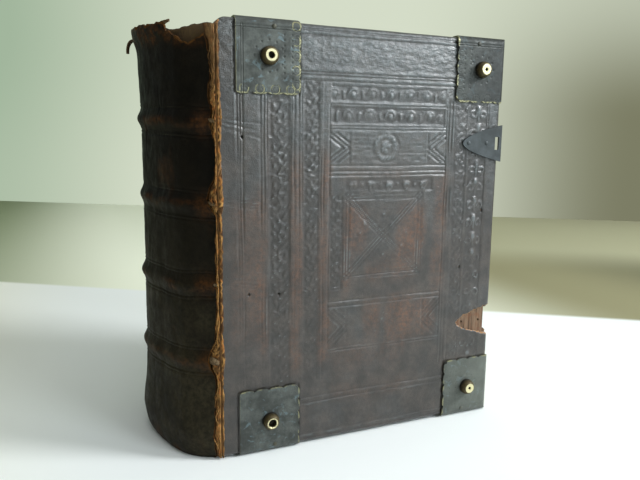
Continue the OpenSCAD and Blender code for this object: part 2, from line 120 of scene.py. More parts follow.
def value_noise(x, y, size, seed):
    """Smooth noise from -1 to 1 with features about size across."""
    count = 61
    lattice = np.random.default_rng(seed).uniform(-1, 1, (count, count))
    i, j = np.floor(x / size).astype(int), np.floor(y / size).astype(int)
    fx, fy = x / size - i, y / size - j
    fx, fy = fx * fx * (3 - 2 * fx), fy * fy * (3 - 2 * fy)
    low = lattice[i % count, j % count] * (1 - fx) + lattice[(i + 1) % count, j % count] * fx
    high = lattice[i % count, (j + 1) % count] * (1 - fx) + lattice[(i + 1) % count, (j + 1) % count] * fx
    return low * (1 - fy) + high * fy


def line_noise(x, size, seed):
    """Smooth noise from -1 to 1 along one line."""
    return value_noise(x, 0 * x, size, seed)


def cloudy(x, y, size, seed, octaves=3):
    """Noise of several sizes added up, still about -1 to 1."""
    total = sum(value_noise(x, y, size / 2 ** k, seed + k) / 2 ** k for k in range(octaves))
    return total / (2 - 2 ** (1 - octaves))


def lines_between(low, high, step, marks=(), spread=(-0.45, 0.0, 0.45)):
    """Rising grid positions: an even spacing, with extra lines across each mark."""
    extra = sorted({m + s for m in marks for s in spread if low < m + s < high})
    even = np.linspace(low, high, max(2, round((high - low) / step) + 1))
    far = [e for e in even[1:-1] if all(abs(e - x) > 0.28 for x in extra)]
    merged = [low]
    for position in sorted(far + extra):
        if position - merged[-1] > 0.12:
            merged.append(position)
    if high - merged[-1] < 0.12:
        merged.pop()
    return np.array(merged + [high])


def grid_quads(rows, columns):
    """Quads of a grid of points that is numbered row by row."""
    i, j = np.meshgrid(np.arange(rows - 1), np.arange(columns - 1), indexing="ij")
    first = (i * columns + j).reshape(-1)
    return np.stack([first, first + 1, first + columns + 1, first + columns], -1)


def flat_layers(layers):
    """The same vertex values, as plain lists in the order of grid_quads()."""
    return {key: values.reshape(-1) for key, values in layers.items()}


def weld(points, faces, layers):
    """Joins points at the same place and drops those that no face uses."""
    used, faces = np.unique(faces, return_inverse=True)
    faces = faces.reshape(-1, 4)
    points = points[used]
    layers = {key: values[used] for key, values in layers.items()}
    _, first, again = np.unique(np.round(points, 3), axis=0, return_index=True, return_inverse=True)
    return points[first], again.reshape(-1)[faces], {key: values[first] for key, values in layers.items()}


def normals_of(points, faces):
    """Unit normals at the points of a mesh of quads."""
    corner = points[faces]
    across = np.cross(corner[:, 2] - corner[:, 0], corner[:, 3] - corner[:, 1])
    total = np.zeros_like(points)
    for k in range(4):
        np.add.at(total, faces[:, k], across)
    return total / np.maximum(np.linalg.norm(total, axis=1, keepdims=True), 1e-12)


def thicken(points, faces, layers, thickness):
    """Closed shell: the given sheet, a second one below it and walls round every edge."""
    count = len(points)
    below = points - normals_of(points, faces) * thickness
    edges = faces[:, [0, 1, 1, 2, 2, 3, 3, 0]].reshape(-1, 2)
    _, where, times = np.unique(np.sort(edges, axis=1), axis=0, return_index=True, return_counts=True)
    rim = edges[where[times == 1]]
    walls = np.stack([rim[:, 1], rim[:, 0], rim[:, 0] + count, rim[:, 1] + count], -1)
    everything = np.concatenate([faces, faces[:, ::-1] + count, walls])
    return np.concatenate([points, below]), everything, {k: np.concatenate([v, v]) for k, v in layers.items()}


def make_piece(name, points, faces, body, slot, material, layers=None, sharp=None, replaced=()):
    """Mesh of millimetre points with its material and vertex values.

    It rides on the named body; where body lists two bodies and the ends of a bend instead, it stays in place on no
    body.
    """
    mesh = bpy.data.meshes.new(name)
    mesh.from_pydata((np.asarray(points) * MM).tolist(), [], [[int(i) for i in face] for face in faces])
    mesh.update()
    mesh.shade_smooth()
    if sharp:
        mesh.set_sharp_from_angle(angle=math.radians(sharp))
    for key, values in (layers or {}).items():
        mesh.attributes.new(key, "FLOAT", "POINT").data.foreach_set("value", values.astype(np.float32))
    mesh.materials.append(material)
    piece = bpy.data.objects.new(name, mesh)
    bpy.context.scene.collection.objects.link(piece)
    if isinstance(body, str):
        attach(piece, body)
    else:
        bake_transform(piece)
    if replaced:
        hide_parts(*replaced)


def tube(path, radius, sides):
    """Closed round tube along a list of points; radius is one number or one for each point."""
    path = np.asarray(path, float)
    radii = np.broadcast_to(np.asarray(radius, float), len(path))
    along = np.gradient(path, axis=0)
    along /= np.linalg.norm(along, axis=1, keepdims=True)
    first = np.cross(along, [0.31, 0.2, 0.93])
    first /= np.linalg.norm(first, axis=1, keepdims=True)
    second = np.cross(along, first)
    turn = np.linspace(0, 2 * math.pi, sides, endpoint=False)
    ring = first[:, None] * np.cos(turn)[:, None] + second[:, None] * np.sin(turn)[:, None]
    points = (path[:, None] + ring * radii[:, None, None]).reshape(-1, 3)
    quads = []
    for i in range(len(path) - 1):
        for k in range(sides):
            a, b = i * sides + k, i * sides + (k + 1) % sides
            quads.append([a, b, b + sides, a + sides])
    start, stop, last = len(points), len(points) + 1, (len(path) - 1) * sides
    for k in range(sides):
        quads.append([start, (k + 1) % sides, k])
        quads.append([stop, last + k, last + (k + 1) % sides])
    return np.concatenate([points, path[:1], path[-1:]]), quads


def twisted(centre, radius, turns, strands=3, depth=0.22, sides=16):
    """Tube laid in strands along a path of points."""
    made, quads = tube(centre, radius, sides)
    body = made[:-2].reshape(len(centre), sides, 3)
    along = 2 * math.pi * turns * np.linspace(0, 1, len(centre))[:, None]
    turn = 2 * math.pi * (np.arange(sides) / sides)[None] * strands + along
    axis = np.asarray(centre)[:, None]
    body = axis + (body - axis) * (1 - depth + depth * np.abs(np.cos(turn / 2)))[..., None]
    return np.concatenate([body.reshape(-1, 3), made[-2:]]), quads


def joined(parts):
    """Several meshes as one: all their points, and their faces with new numbers."""
    points, faces, count = [], [], 0
    for made, quads in parts:
        points.append(made)
        faces += [[count + i for i in quad] for quad in quads]
        count += len(made)
    return np.concatenate(points), faces


# Helpers for materials

class Paint:
    """A material's nodes: each method adds one node and returns its output."""

    def __init__(self, name):
        self.material = bpy.data.materials.new(name)
        self.material.use_nodes = True
        self.tree = self.material.node_tree
        self.shader = self.tree.nodes["Principled BSDF"]
        self.place = self.tree.nodes.new("ShaderNodeTexCoord").outputs["Object"]

    def _set(self, socket, value):
        if isinstance(value, bpy.types.NodeSocket):
            self.tree.links.new(value, socket)
        elif isinstance(value, str):
            socket.default_value = (*(to_linear(value)), 1)
        else:
            socket.default_value = value

    def _pattern(self, kind, size, stretch=(1, 1, 1)):
        """Texture node whose features are about size millimetres across."""
        mapping = self.tree.nodes.new("ShaderNodeMapping")
        mapping.inputs["Scale"].default_value = [1 / s for s in stretch]
        self.tree.links.new(self.place, mapping.inputs["Vector"])
        made = self.tree.nodes.new(kind)
        self.tree.links.new(mapping.outputs[0], made.inputs["Vector"])
        made.inputs["Scale"].default_value = 1 / (size * MM)
        return made

    def noise(self, size, detail=4, rough=0.55, stretch=(1, 1, 1), warp=0.0):
        """Noise from 0 to 1."""
        made = self._pattern("ShaderNodeTexNoise", size, stretch)
        made.inputs["Detail"].default_value = detail
        made.inputs["Roughness"].default_value = rough
        made.inputs["Distortion"].default_value = warp
        return made.outputs["Fac"]

    def cells(self, size):
        """Pebbled pattern: distance from the edge of a cell."""
        made = self._pattern("ShaderNodeTexVoronoi", size)
        made.feature = "DISTANCE_TO_EDGE"
        return made.outputs["Distance"]

    def value(self, key):
        """A vertex value of the piece, made by make_piece()."""
        made = self.tree.nodes.new("ShaderNodeAttribute")
        made.attribute_name = key
        return made.outputs["Fac"]

    def spread(self, value, low, high, start=0.0, end=1.0):
        """Value stretched from low...high to start...end, and held there."""
        made = self.tree.nodes.new("ShaderNodeMapRange")
        made.interpolation_type = "SMOOTHSTEP"
        for socket, number in zip(made.inputs, (value, low, high, start, end)):
            self._set(socket, number)
        return made.outputs["Result"]

    def math(self, kind, a, b=0.0):
        made = self.tree.nodes.new("ShaderNodeMath")
        made.operation = kind
        self._set(made.inputs[0], a)
        self._set(made.inputs[1], b)
        return made.outputs[0]

    def times(self, a, b):
        return self.math("MULTIPLY", a, b)

    def plus(self, a, b):
        return self.math("ADD", a, b)

    def mix(self, share, a, b):
        """Colour between a and b."""
        made = self.tree.nodes.new("ShaderNodeMix")
        made.data_type = "RGBA"
        for socket, value in ((0, share), (6, a), (7, b)):
            self._set(made.inputs[socket], value)
        return made.outputs[2]

    def over(self, colour, upper, value, low, high, share=1.0):
        """Colour with an upper one laid over it, from none at low to a share of it at high."""
        return self.mix(self.spread(value, low, high, 0.0, share), colour, upper)

    def axis(self, index):
        """One coordinate of the place on the object, in metres."""
        made = self.tree.nodes.new("ShaderNodeSeparateXYZ")
        self.tree.links.new(self.place, made.inputs[0])
        return made.outputs[index]

    def fold(self, index, middle, apart):
        """Distance along an axis from two places that lie on both sides of a middle."""
        from_middle = self.math("ABSOLUTE", self.math("SUBTRACT", self.axis(index), middle * MM))
        return self.math("SUBTRACT", from_middle, apart * MM)

    def distance(self, a, b):
        """Length of two sides that stand square to each other."""
        return self.math("SQRT", self.plus(self.times(a, a), self.times(b, b)))

    def bump(self, height, depth, strength=1.0):
        """Adds bumps depth millimetres high, on top of those already there."""
        made = self.tree.nodes.new("ShaderNodeBump")
        made.inputs["Strength"].default_value = strength
        made.inputs["Distance"].default_value = depth * MM
        self._set(made.inputs["Height"], height)
        before = self.shader.inputs["Normal"].links
        if before:
            self.tree.links.new(before[0].from_socket, made.inputs["Normal"])
        self.tree.links.new(made.outputs["Normal"], self.shader.inputs["Normal"])

    def finish(self, colour, rough, metal=0.0, specular=0.5):
        """Puts colour and roughness on the shader; the rest are plain numbers."""
        self._set(self.shader.inputs["Base Color"], colour)
        self._set(self.shader.inputs["Roughness"], rough)
        self._set(self.shader.inputs["Metallic"], metal)
        self.shader.inputs["Specular IOR Level"].default_value = specular
        return self.material


def to_linear(code):
    """Linear colour of a hex code."""
    parts = [int(code[i:i + 2], 16) / 255 for i in (1, 3, 5)]
    return [p / 12.92 if p <= 0.04045 else ((p + 0.055) / 1.055) ** 2.4 for p in parts]


# Materials

def leather(name, dark, light, red, bloom_and_painted_light, raw, gloss, specular):
    """Old calf: dark grain, red-brown where it is rubbed, fibrous and pale where it is torn."""
    p = Paint(name)
    blotch = p.spread(p.noise(11, 5, 0.62), 0.34, 0.68)
    grain = p.noise(1.0, 3, 0.6)
    speck = p.noise(2.6, 6, 0.7)
    colour = p.mix(p.times(blotch, 0.8), dark, light)
    colour = p.over(colour, dark, grain, 0.38, 0.7, 0.5)
    # Paler towards the bloom colour: real bloom in random clouds, with painted sheen towards the cover's head and
    # painted light low on the spine.
    colour = p.mix(p.times(p.value("bloom_and_painted_light"), p.spread(speck, 0.3, 0.72, 0.25, 0.85)), colour, bloom_and_painted_light)
    rubbed = p.times(p.value("rub"), p.spread(speck, 0.36, 0.66, 0.12, 0.72))
    colour = p.mix(p.math("MINIMUM", rubbed, 1.0), colour, red)
    # Darker where deep is high: pressed or creased places, painted shade along the cover's joint and head edge, and
    # near black as painted shadow beside the corner plates and in the nail holes.
    colour = p.over(colour, dark, p.value("deep"), 0.15, 1.0, 0.6)
    colour = p.over(colour, "#060504", p.value("deep"), 1.2, 2.0, 0.9)
    # Painted highlight: raised parts of the tooling turn towards the pale bloom colour.
    colour = p.over(colour, bloom_and_painted_light, p.value("ridge_highlight"), 0.2, 1.0, 0.55)
    fibres = p.mix(p.noise(1.0, 5, 0.7, (0.5, 0.5, 4)), red, raw)
    torn = p.spread(p.plus(p.value("raw"), p.times(speck, 0.5)), 0.55, 0.95)
    colour = p.mix(torn, colour, fibres)
    p.bump(p.noise(4.5, 4, 0.62), 0.30, 0.7)
    p.bump(p.cells(1.0), 0.16, 0.6)
    p.bump(p.times(p.noise(1.5, 3, 0.6, (2.8, 1, 1)), p.value("crinkle")), 0.5, 0.85)
    p.bump(p.noise(0.6, 3, 0.65, (2.2, 1, 1)), 0.11, 0.6)
    shine = p.spread(p.noise(7, 4, 0.65), 0.3, 0.7, *gloss)
    rough = p.math("MAXIMUM", shine, p.spread(torn, 0.0, 1.0, 0.0, 0.9))
    return p.finish(colour, rough, specular=specular)


def torn_fibre(name, dark, light, orange):
    """Torn inner side of leather: matt, in long loose fibres."""
    p = Paint(name)
    low = p.value("low")
    strands = p.noise(0.7, 4, 0.65, (0.6, 0.6, 6))
    patches = p.noise(6, 3, 0.6)
    colour = p.mix(p.spread(strands, 0.30, 0.62), dark, light)
    colour = p.over(colour, dark, patches, 0.42, 0.7, 0.6)
    colour = p.over(colour, orange, p.noise(4, 3, 0.6), 0.5, 0.64, 0.55)
    colour = p.over(colour, "#5d4c39", p.axis(2), 0.20, 0.23, 0.55)
    # Painted shade: darker with the vertex value low, between strands and in cracks, and near black in holes.
    colour = p.mix(p.times(low, 0.9), colour, dark)
    colour = p.mix(p.spread(low, 1.05, 1.3), colour, "#0e0904")
    p.bump(strands, 0.35, 0.8)
    return p.finish(colour, 0.88, specular=0.25)


def old_brass(name, dark, light, spot, worn):
    """Brass gone dark, with blue-grey spots and paler metal where hands have rubbed it; on the corner plates' edges
    the paler metal is also a painted highlight.
    """
    p = Paint(name)
    cloud = p.spread(p.noise(9, 5, 0.6), 0.35, 0.65)
    fine = p.noise(0.9, 5, 0.7)
    colour = p.mix(cloud, dark, light)
    colour = p.over(colour, spot, p.noise(5, 4, 0.65, warp=0.6), 0.56, 0.68, 0.6)
    colour = p.mix(p.spread(fine, 0.3, 0.6, 0.35, 0.0), colour, dark)
    rub = p.spread(p.plus(p.value("rub"), p.times(fine, 0.4)), 0.55, 0.9)
    # Plates at the fore-edge are darker towards the head and paler at the foot.
    darker_head_fore = p.times(p.spread(p.axis(0), 0.03, 0.12), p.spread(p.axis(2), 0.12, 0.22))
    colour = p.mix(p.times(darker_head_fore, 0.9), colour, "#282b2a")
    fore_foot = p.times(p.spread(p.axis(0), 0.03, 0.12), p.spread(p.axis(2), 0.04, 0.08, 0.6, 0.0))
    colour = p.mix(fore_foot, colour, "#73776f")
    # Paler with rub: worn metal, and on the corner plates' edges and arcs also a painted highlight.
    colour = p.mix(rub, colour, worn)
    colour = p.over(colour, dark, p.value("deep"), 0.1, 0.8, 0.8)
    p.bump(p.noise(2.2, 5, 0.65), 0.08, 0.6)
    p.bump(fine, 0.03, 0.6)
    rough = p.spread(p.noise(3, 3), 0.3, 0.7, 0.42, 0.64)
    return p.finish(colour, rough, metal=p.spread(rub, 0.0, 1.0, 0.45, 0.9))


def boss_brass(name, top_y, side):
    """Boss metal: dark in the neck and in the bore, with a rubbed bright ring at the top."""
    p = Paint(name)
    height = p.times(p.math("SUBTRACT", p.axis(1), side * top_y * MM), side / MM)
    fine = p.noise(0.8, 5, 0.7)
    bright = p.spread(p.plus(height, p.times(fine, 0.8)), 4.2, 4.85)
    from_axis = p.distance(*[p.fold(axis, BOSS_MIDDLE[k], BOSS_APART[k]) for k, axis in enumerate((0, 2))])
    ring = p.spread(p.plus(from_axis, p.times(fine, 0.6 * MM)), 3.2 * MM, 3.8 * MM, 1.0, 0.0)
    bright = p.times(bright, ring)
    colour = p.mix(p.spread(height, 0.3, 3.6), "#17130c", "#4a3f22")
    colour = p.over(colour, "#2a2013", p.noise(1.7, 4), 0.5, 0.7, 0.6)
    colour = p.mix(bright, colour, "#e9dfb4")
    p.bump(fine, 0.06, 0.6)
    return p.finish(colour, p.spread(bright, 0, 1, 0.48, 0.3), metal=p.spread(bright, 0, 1, 0.35, 1.0))


def wood(name):
    """Old beech or oak board, reddish where it lies bare, with its grain along the height."""
    p = Paint(name)
    rings = p.noise(1.6, 5, 0.6, (1, 1, 14), 0.4)
    colour = p.mix(p.spread(rings, 0.3, 0.6), "#3f2d1f", "#7d6550")
    colour = p.over(colour, "#74462c", p.noise(4, 4), 0.45, 0.7, 0.5)
    p.bump(rings, 0.18, 0.6)
    return p.finish(colour, 0.72, specular=0.3)


def paper(name, light, dark, stain):
    """Old rag paper, browned and foxed."""
    p = Paint(name)
    colour = p.mix(p.spread(p.noise(30, 5, 0.6), 0.35, 0.7), light, dark)
    colour = p.over(colour, stain, p.noise(9, 5, 0.65), 0.6, 0.75, 0.5)
    colour = p.over(colour, stain, p.value("shade"), 0.0, 1.0, 0.7)
    p.bump(p.noise(0.6, 4, 0.6), 0.05, 0.5)
    return p.finish(colour, 0.85, specular=0.25)


def thread(name, light, dark):
    """Linen or hemp thread, twisted and grey with dust."""
    p = Paint(name)
    twist = p.noise(0.5, 3, 0.6, (2.5, 2.5, 1), 0.8)
    colour = p.mix(p.spread(twist, 0.35, 0.65), dark, light)
    p.bump(twist, 0.2, 0.8)
    return p.finish(colour, 0.9, specular=0.2)


COVER = leather("cover_leather", "#231e1a", "#483f38", "#6c4429", "#687072", "#b98a52", (0.28, 0.44), 0.8)
SPINE = leather("spine_leather", "#090704", "#15110b", "#4a2c12", "#443e2c", "#543a1c", (0.42, 0.6), 0.08)
FIBRE = torn_fibre("torn_fibre", "#38220e", "#bb8c50", "#a8622c")
FLESH = torn_fibre("torn_flesh", "#231806", "#5c421a", "#4a2f14")
PLATE = old_brass("plate_brass", "#3c3f3c", "#5a5e5a", "#6f8288", "#8f8d70")
CATCH = old_brass("catch_brass", "#404648", "#5e6568", "#67737a", "#8f8d68")
PIN = old_brass("pin_brass", "#3c3c33", "#58574a", "#66706b", "#7d7a60")
WOOD = wood("board_wood")
LEAVES = paper("page_edges", "#c8b88d", "#ab9768", "#806a3f")
PASTE = paper("pasted_paper", "#d6c9a4", "#c2b184", "#9c8455")
PARCHMENT = torn_fibre("stained_parchment", "#1a1204", "#4c3a14", "#3c2410")
CORD = thread("hemp_cord", "#a98753", "#6e5330")
DIRTY_CORD = thread("dirty_cord", "#7d6a50", "#453523")
SILK = thread("endband_thread", "#8a7650", "#4a3c24")


# Leather of the covers

JOINT_LINES = [10.9, 12.4, 13.9, 24.2, 25.9, 27.9]
FRAME_LINES = [42.5, 44.0, 47.2, 48.7, 60.4, 61.9]
FORE_LINES = [39.6, 37.1, 34.6, 24.6, 9.6]
HEAD_LINES = [3.3, 6.1, 25.8, 27.3, 30.3]
TAIL_LINES = [3.3, 6.1, 25.8, 29.3]
LEVEL_LINES = [43, 55.3, 57, 78.3, 81.6, 84.1, 160, 163.3, 189, 191]
UPRIGHTS = JOINT_LINES + FRAME_LINES + [COVER_W - f for f in FORE_LINES]
TEAR_REACH = (2.5, 3.4, 4.3)
FIELD = (65.7, COVER_W - 41.3)
UPPER_PANEL, LOWER_PANEL, MIDDLE = (58.8, 76.8), (164.8, 187.5), (95.0, 146.3)
NEST = (FIELD[0] + 10, FIELD[1] - 16)
END_FIELD = 12.7
HOLES = [(13.6, 186.4), (34.7, 96.9), (16.7, 98.0), (175.3, 141.0), (159.7, 104.0)]
HOLE_DEPTH = 2.4


def groove(distance, width=0.44, depth=0.48):
    """Depth of a line pressed into leather, with a low lip on both sides."""
    d = np.abs(distance) / width
    return depth * (bell(d, 1) - 0.3 * bell(d - 2.2, 0.8))


def slant(u, z, start, end):
    """Line pressed between two points of the cover."""
    (u0, z0), (u1, z1) = start, end
    length = math.hypot(u1 - u0, z1 - z0)
    along = ((u - u0) * (u1 - u0) + (z - z0) * (z1 - z0)) / length
    across = ((u - u0) * (z1 - z0) - (z - z0) * (u1 - u0)) / length
    return groove(across) * window(along, 0, length, 1.0)


def slant_triple(u, z, start, end, gap=2.4, width=0.44):
    """Three lines side by side, cut off by the box between the two points."""
    (u0, z0), (u1, z1) = start, end
    inside = window(u, min(u0, u1), max(u0, u1)) * window(z, min(z0, z1), max(z0, z1))
    length = math.hypot(u1 - u0, z1 - z0)
    across = ((u - u0) * (z1 - z0) - (z - z0) * (u1 - u0)) / length
    step = gap * abs(u1 - u0) / length
    return inside * sum(groove(across + k * step, width) for k in (-1, 0, 1))


def rect_lines(u, z, low_u, high_u, low_z, high_z):
    """Four lines round a box."""
    across = sum(groove(u - edge) * window(z, low_z, high_z) for edge in (low_u, high_u))
    return across + sum(groove(z - edge) * window(u, low_u, high_u) for edge in (low_z, high_z))


# Motifs of the rolls and stamps: s runs along, t across, both in millimetres; 1 is raised, 0 is ground

def blob(s, t, radius, stretch=1.0):
    return np.exp(-((s / stretch) ** 2 + t ** 2) ** 1.5 / radius ** 3)


def bend_of(s, period):
    """Number of the repeat that s falls in, and the distance from its middle."""
    number = np.floor(s / period)
    return number, s - (number + 0.5) * period


def sprays(s, t, half, period):
    """Short slanted leaves and berries, left and right of a thin waved stem."""
    number, local = bend_of(s, period)
    side = np.where(number % 2 == 0, -1, 1)
    loose = 0.9 * line_noise(number * 3.7, 2.9, 121)
    stem = 0.5 * bell(t - 0.2 * half * np.sin(np.pi * s / period), 0.4)
    parts = [stem]
    for k, (place, tilt) in enumerate(((0.5, 0.5), (-0.45, -0.9), (0.05, 1.6))):
        a, b = local - 0.22 * period * (k - 1) - loose, t - side * place * half
        turn = tilt * side + 0.5 * loose
        along, across = a * np.cos(turn) + b * np.sin(turn), b * np.cos(turn) - a * np.sin(turn)
        parts.append(np.exp(-(along / (0.22 * half + 0.45)) ** 2 - (across / 0.5) ** 2))
    parts.append(blob(local + 0.3 * period, t + side * 0.75 * half + loose, 0.62))
    return np.maximum.reduce(parts)


def balls(s, t, half, period):
    """Round bosses under small arches."""
    _, local = bend_of(s, period)
    ring = np.hypot(local, t + 0.1 * half)
    arch = bell(ring - 0.62 * half, 0.42) * smooth(t, -0.4 * half, 0.1 * half)
    stalk = bell(np.abs(local) - period / 2, 0.5) * window(t, -0.6 * half, 0.3 * half)
    return np.maximum.reduce([blob(local, t + 0.1 * half, 0.36 * half), arch, stalk])


def hearts(s, t, half, period):
    """Small hearts or buds in a row, with a dot between."""
    _, local = bend_of(s, period)
    lobes = sum(blob(local - k * 1.3, t - 0.5, 1.5) for k in (-1, 1))
    point = bell(np.abs(local) - (t + half) * 0.55, 0.5) * window(t, -half, 0.4)
    dot = blob(np.abs(local) - period / 2, t, 0.8)
    return np.maximum.reduce([np.minimum(lobes, 1), point, dot])


def fleurons(s, t, half, period):
    """Upright flowers: a bud over two curled leaves."""
    _, local = bend_of(s, period)
    bud = blob(local - 0.22 * period, t, 0.2 * half + 0.7, 1.4)
    curls = np.hypot(local + 0.05 * period, np.abs(t) - 0.5 * half)
    leaves = bell(curls - 0.3 * half, 0.42)
    foot = bell(t, 0.5) * window(local, -0.42 * period, 0.1 * period)
    return np.maximum.reduce([bud, leaves, foot])


# Rolls and stamp rows: motif, u from and to, z from and to, axis it runs along, period, depth
ROLLS = [
    (sprays, 48.0, 150.0, 225.6, 242.4, "u", 9.0, 0.16),
    (balls, 66.6, 144.0, 207.4, 217.0, "u", 12.4, 0.52),
    (balls, 66.6, 144.0, 194.6, 204.9, "u", 14.0, 0.58),
    (hearts, 76.0, 136.0, 155.0, 163.0, "u", 12.4, 0.5),
    (sprays, 28.9, 41.6, 41.0, 209.0, "z", 5.6, 0.72),
    (sprays, 49.6, 59.6, 41.0, 217.6, "z", 6.4, 0.68),
    (sprays, 66.4, 74.8, 96.0, 153.0, "z", 5.2, 0.66),
    (sprays, 152.2, 161.0, 42.0, 209.0, "z", 6.0, 0.62),
    (fleurons, 162.4, 176.0, 42.0, 209.0, "z", 11.6, 0.74),
    (sprays, 50.0, 150.0, 8.0, 21.6, "u", 8.0, 0.3),
]


def roll_relief(u, z):
    """Depth pressed by the rolls and stamps: their ground is sunk, their motif stands up in it."""
    sunk = np.zeros_like(u)
    shift_u = 0.6 * value_noise(u, z, 6.1, 101) + 0.35 * value_noise(u, z, 2.3, 102)
    shift_z = 0.6 * value_noise(u, z, 5.3, 103) + 0.35 * value_noise(u, z, 2.1, 104)
    left = np.clip(1.05 + 0.7 * cloudy(u, z, 6, 105), 0.35, 1.6)
    for motif, u0, u1, z0, z1, along, period, depth in ROLLS:
        wu, wz = u + shift_u, z + shift_z
        s, t = (wu, wz - (z0 + z1) / 2) if along == "u" else (wz, wu - (u0 + u1) / 2)
        half = ((z1 - z0) if along == "u" else (u1 - u0)) / 2
        ground = window(u, u0, u1, 0.8) * window(z, z0, z1, 0.8)
        sunk += depth * ground * (0.45 - left * (motif(s, t, half, period) - 0.25))
    return sunk


def wreath_relief(u, z):
    """Wreath in the upper panel and its faint fellow in the lower one, and small stamps in the middle."""
    sunk = np.zeros_like(u)
    for centre_z, depth in ((HEAD_Z - 67.4, 0.5), (HEAD_Z - 176.0, 0.3)):
        du = u - 102.5 + 0.8 * value_noise(u, z, 4.3, 122)
        dz = z - centre_z + 0.8 * value_noise(u, z, 3.7, 123)
        kept = np.clip(0.7 + 0.9 * cloudy(u, z, 4, 124), 0.1, 1.3)
        ring, turn = np.hypot(du, dz), np.arctan2(dz, du)
        ring = ring * (1 + 0.05 * np.cos(turn - 1.57))
        sunk += 0.6 * depth * kept * bell(ring - 8.6, 0.7)
        leaves = 0.55 + 0.45 * np.cos(17 * turn + 2.2 * (ring - 6))
        sunk -= 0.8 * depth * kept * bell(ring - 6.6, 1.5) * leaves
        sunk += 0.5 * depth * kept * bell(ring - 4.3, 0.7)
        petals = bell(ring - 2.3, 0.9) * (0.5 + 0.5 * np.cos(5 * turn))
        sunk -= 0.8 * depth * (petals + blob(du, dz, 0.9))
        sunk -= 0.6 * depth * sum(blob(du - k * 1.3, dz - 8.9 + 0.7 * abs(k), 0.8) for k in (-1, 0, 1))
        wide = window(u, FIELD[0] + END_FIELD + 1, FIELD[1] - END_FIELD - 1)
        wide = wide * window(z, centre_z - 8, centre_z + 8)
        dashes = bell(((z + 0.4 * value_noise(u, z, 5, 106)) % 2.3) - 1.15, 0.4)
        broken = smooth(value_noise(u / 3, z, 1.6, 107), -0.4, 0.2)
        sunk += 0.6 * depth * wide * dashes * smooth(ring, 8.6, 9.6) * broken
    middle_u, middle_z = (NEST[0] + NEST[1]) / 2, HEAD_Z - (MIDDLE[0] + MIDDLE[1]) / 2
    for du, dz in ((0, 13), (5.5, 6.5), (-6, 6), (0, -12), (-16, 2), (16, 1), (-13, 8), (13, -7)):
        s, t = u - middle_u - du, z - middle_z - dz
        ring, turn = np.hypot(s, t), np.arctan2(t, s)
        sunk += 0.3 * bell(ring - 2.6, 0.6) * (0.5 + 0.5 * np.cos(3 * turn + 1.57))
        sunk -= 0.3 * blob(s, t, 0.8)
    return sunk


def line_relief(u, z):
    """Depth of every straight line of the cover, as in the CAD source."""
    low, high = PLATE_H, HEAD_Z + BRASS - PLATE_H
    sunk = 0
    for k, line in enumerate(UPRIGHTS):
        top = HEAD_Z - HEAD_LINES[4] if line in FRAME_LINES else high
        kept = np.clip(0.45 + 0.5 * value_noise(z, u / 9 + 7 * k, 21, 125), 0.12, 0.9)
        sway = 0.2 * line_noise(z, 17, 140 + k)
        sunk = sunk + kept * groove(u - line + sway, 0.5) * window(z, low, top)
    wide = window(u, PLATE_INSET + PLATE_W - 1, COVER_W + BRASS - PLATE_W + 1)
    sunk += wide * sum(groove(z - HEAD_Z + line) for line in HEAD_LINES)
    sunk += wide * sum(groove(z - FOOT_Z - line) for line in TAIL_LINES)
    level = 0.85 * sum(groove(z - HEAD_Z + line) for line in LEVEL_LINES)
    sunk += window(u, *FIELD) * level * np.clip(0.8 + 0.5 * value_noise(u, z / 4, 17, 126), 0.3, 1.2)
    beside = window(z, HEAD_Z - LOWER_PANEL[1] - 1, HEAD_Z - 43)
    sunk += 0.6 * sum(groove(u - edge) * beside for edge in FIELD)
    for top, bottom in (UPPER_PANEL, LOWER_PANEL):
        middle_z = HEAD_Z - (top + bottom) / 2
        for outer_u, inner_u in ((FIELD[0], FIELD[0] + END_FIELD), (FIELD[1], FIELD[1] - END_FIELD)):
            for outer_z in (HEAD_Z - bottom, HEAD_Z - top):
                sunk += 1.5 * slant_triple(u, z, (outer_u, outer_z), (inner_u, middle_z), 2.7, 0.62)
            sunk += groove(u - inner_u) * window(z, HEAD_Z - bottom, HEAD_Z - top)
    low_z, high_z = HEAD_Z - MIDDLE[1], HEAD_Z - MIDDLE[0]
    for k in (0, 1.6, 3.2):
        sunk += 1.2 * rect_lines(u, z, NEST[0] + k, NEST[1] - k, low_z + k, high_z - k)
    sunk += slant_triple(u, z, (NEST[0], low_z), (NEST[1], high_z))
    sunk += slant_triple(u, z, (NEST[0], high_z), (NEST[1], low_z))
    for centre, fan in zip(BANDS, ((12, 8, -3, -13), (7, 4, 1, -1), (4, 1.5, -0.5), (2, -2, -6))):
        for k, rise in enumerate(fan):
            start = (3.5, centre + rise * 0.6 + 1)
            sunk += 0.6 * slant(u, z, start, (24.0, centre + rise - 2))
    return np.minimum(sunk, 0.7)


def cover_wear(u, z):
    """How much of the pressed pattern is left: most of it near the head, least low and in the middle."""
    kept = 0.64 + 0.41 * smooth(z, 60, 165)
    kept -= 0.25 * np.exp(-((u - 118) / 30) ** 2 - ((z - 90) / 40) ** 2)
    return np.clip(kept + 0.22 * cloudy(u, z, 22, 5), 0.25, 1.15)


# Rubbed places of the front cover, where the leather shows red-brown: u from and to, z from and to, strength
RUBBED = [
    (6, 23, 64, 150, 0.5), (22, 27, 60, 158, 0.7), (42, 49, 50, 178, 0.8), (60, 66, 52, 180, 0.85),
    (75, 80, 92, 146, 0.8), (78, 91, 118, 146, 0.9),
    (112, 131, 110, 146, 1.0), (90, 124, 101, 112, 0.8), (138, 147, 86, 165, 0.75), (89, 101, 64, 86, 0.9),
    (106, 126, 62, 88, 1.1), (127, 141, 62, 86, 1.0), (67, 130, 28, 32, 0.7), (68, 120, 44, 62, 0.35),
    (70, 140, 160, 168, 0.4), (28, 33, 150, 210, 0.3),
]
RUBBED_BACK = [(30, 60, 60, 190, 0.5), (80, 140, 90, 160, 0.6), (60, 150, 20, 40, 0.4)]
TURN_IN = 8.0           # how far the leather reaches round the board's inner side
TURN_ROUND = 0.9        # rounding where it turns under


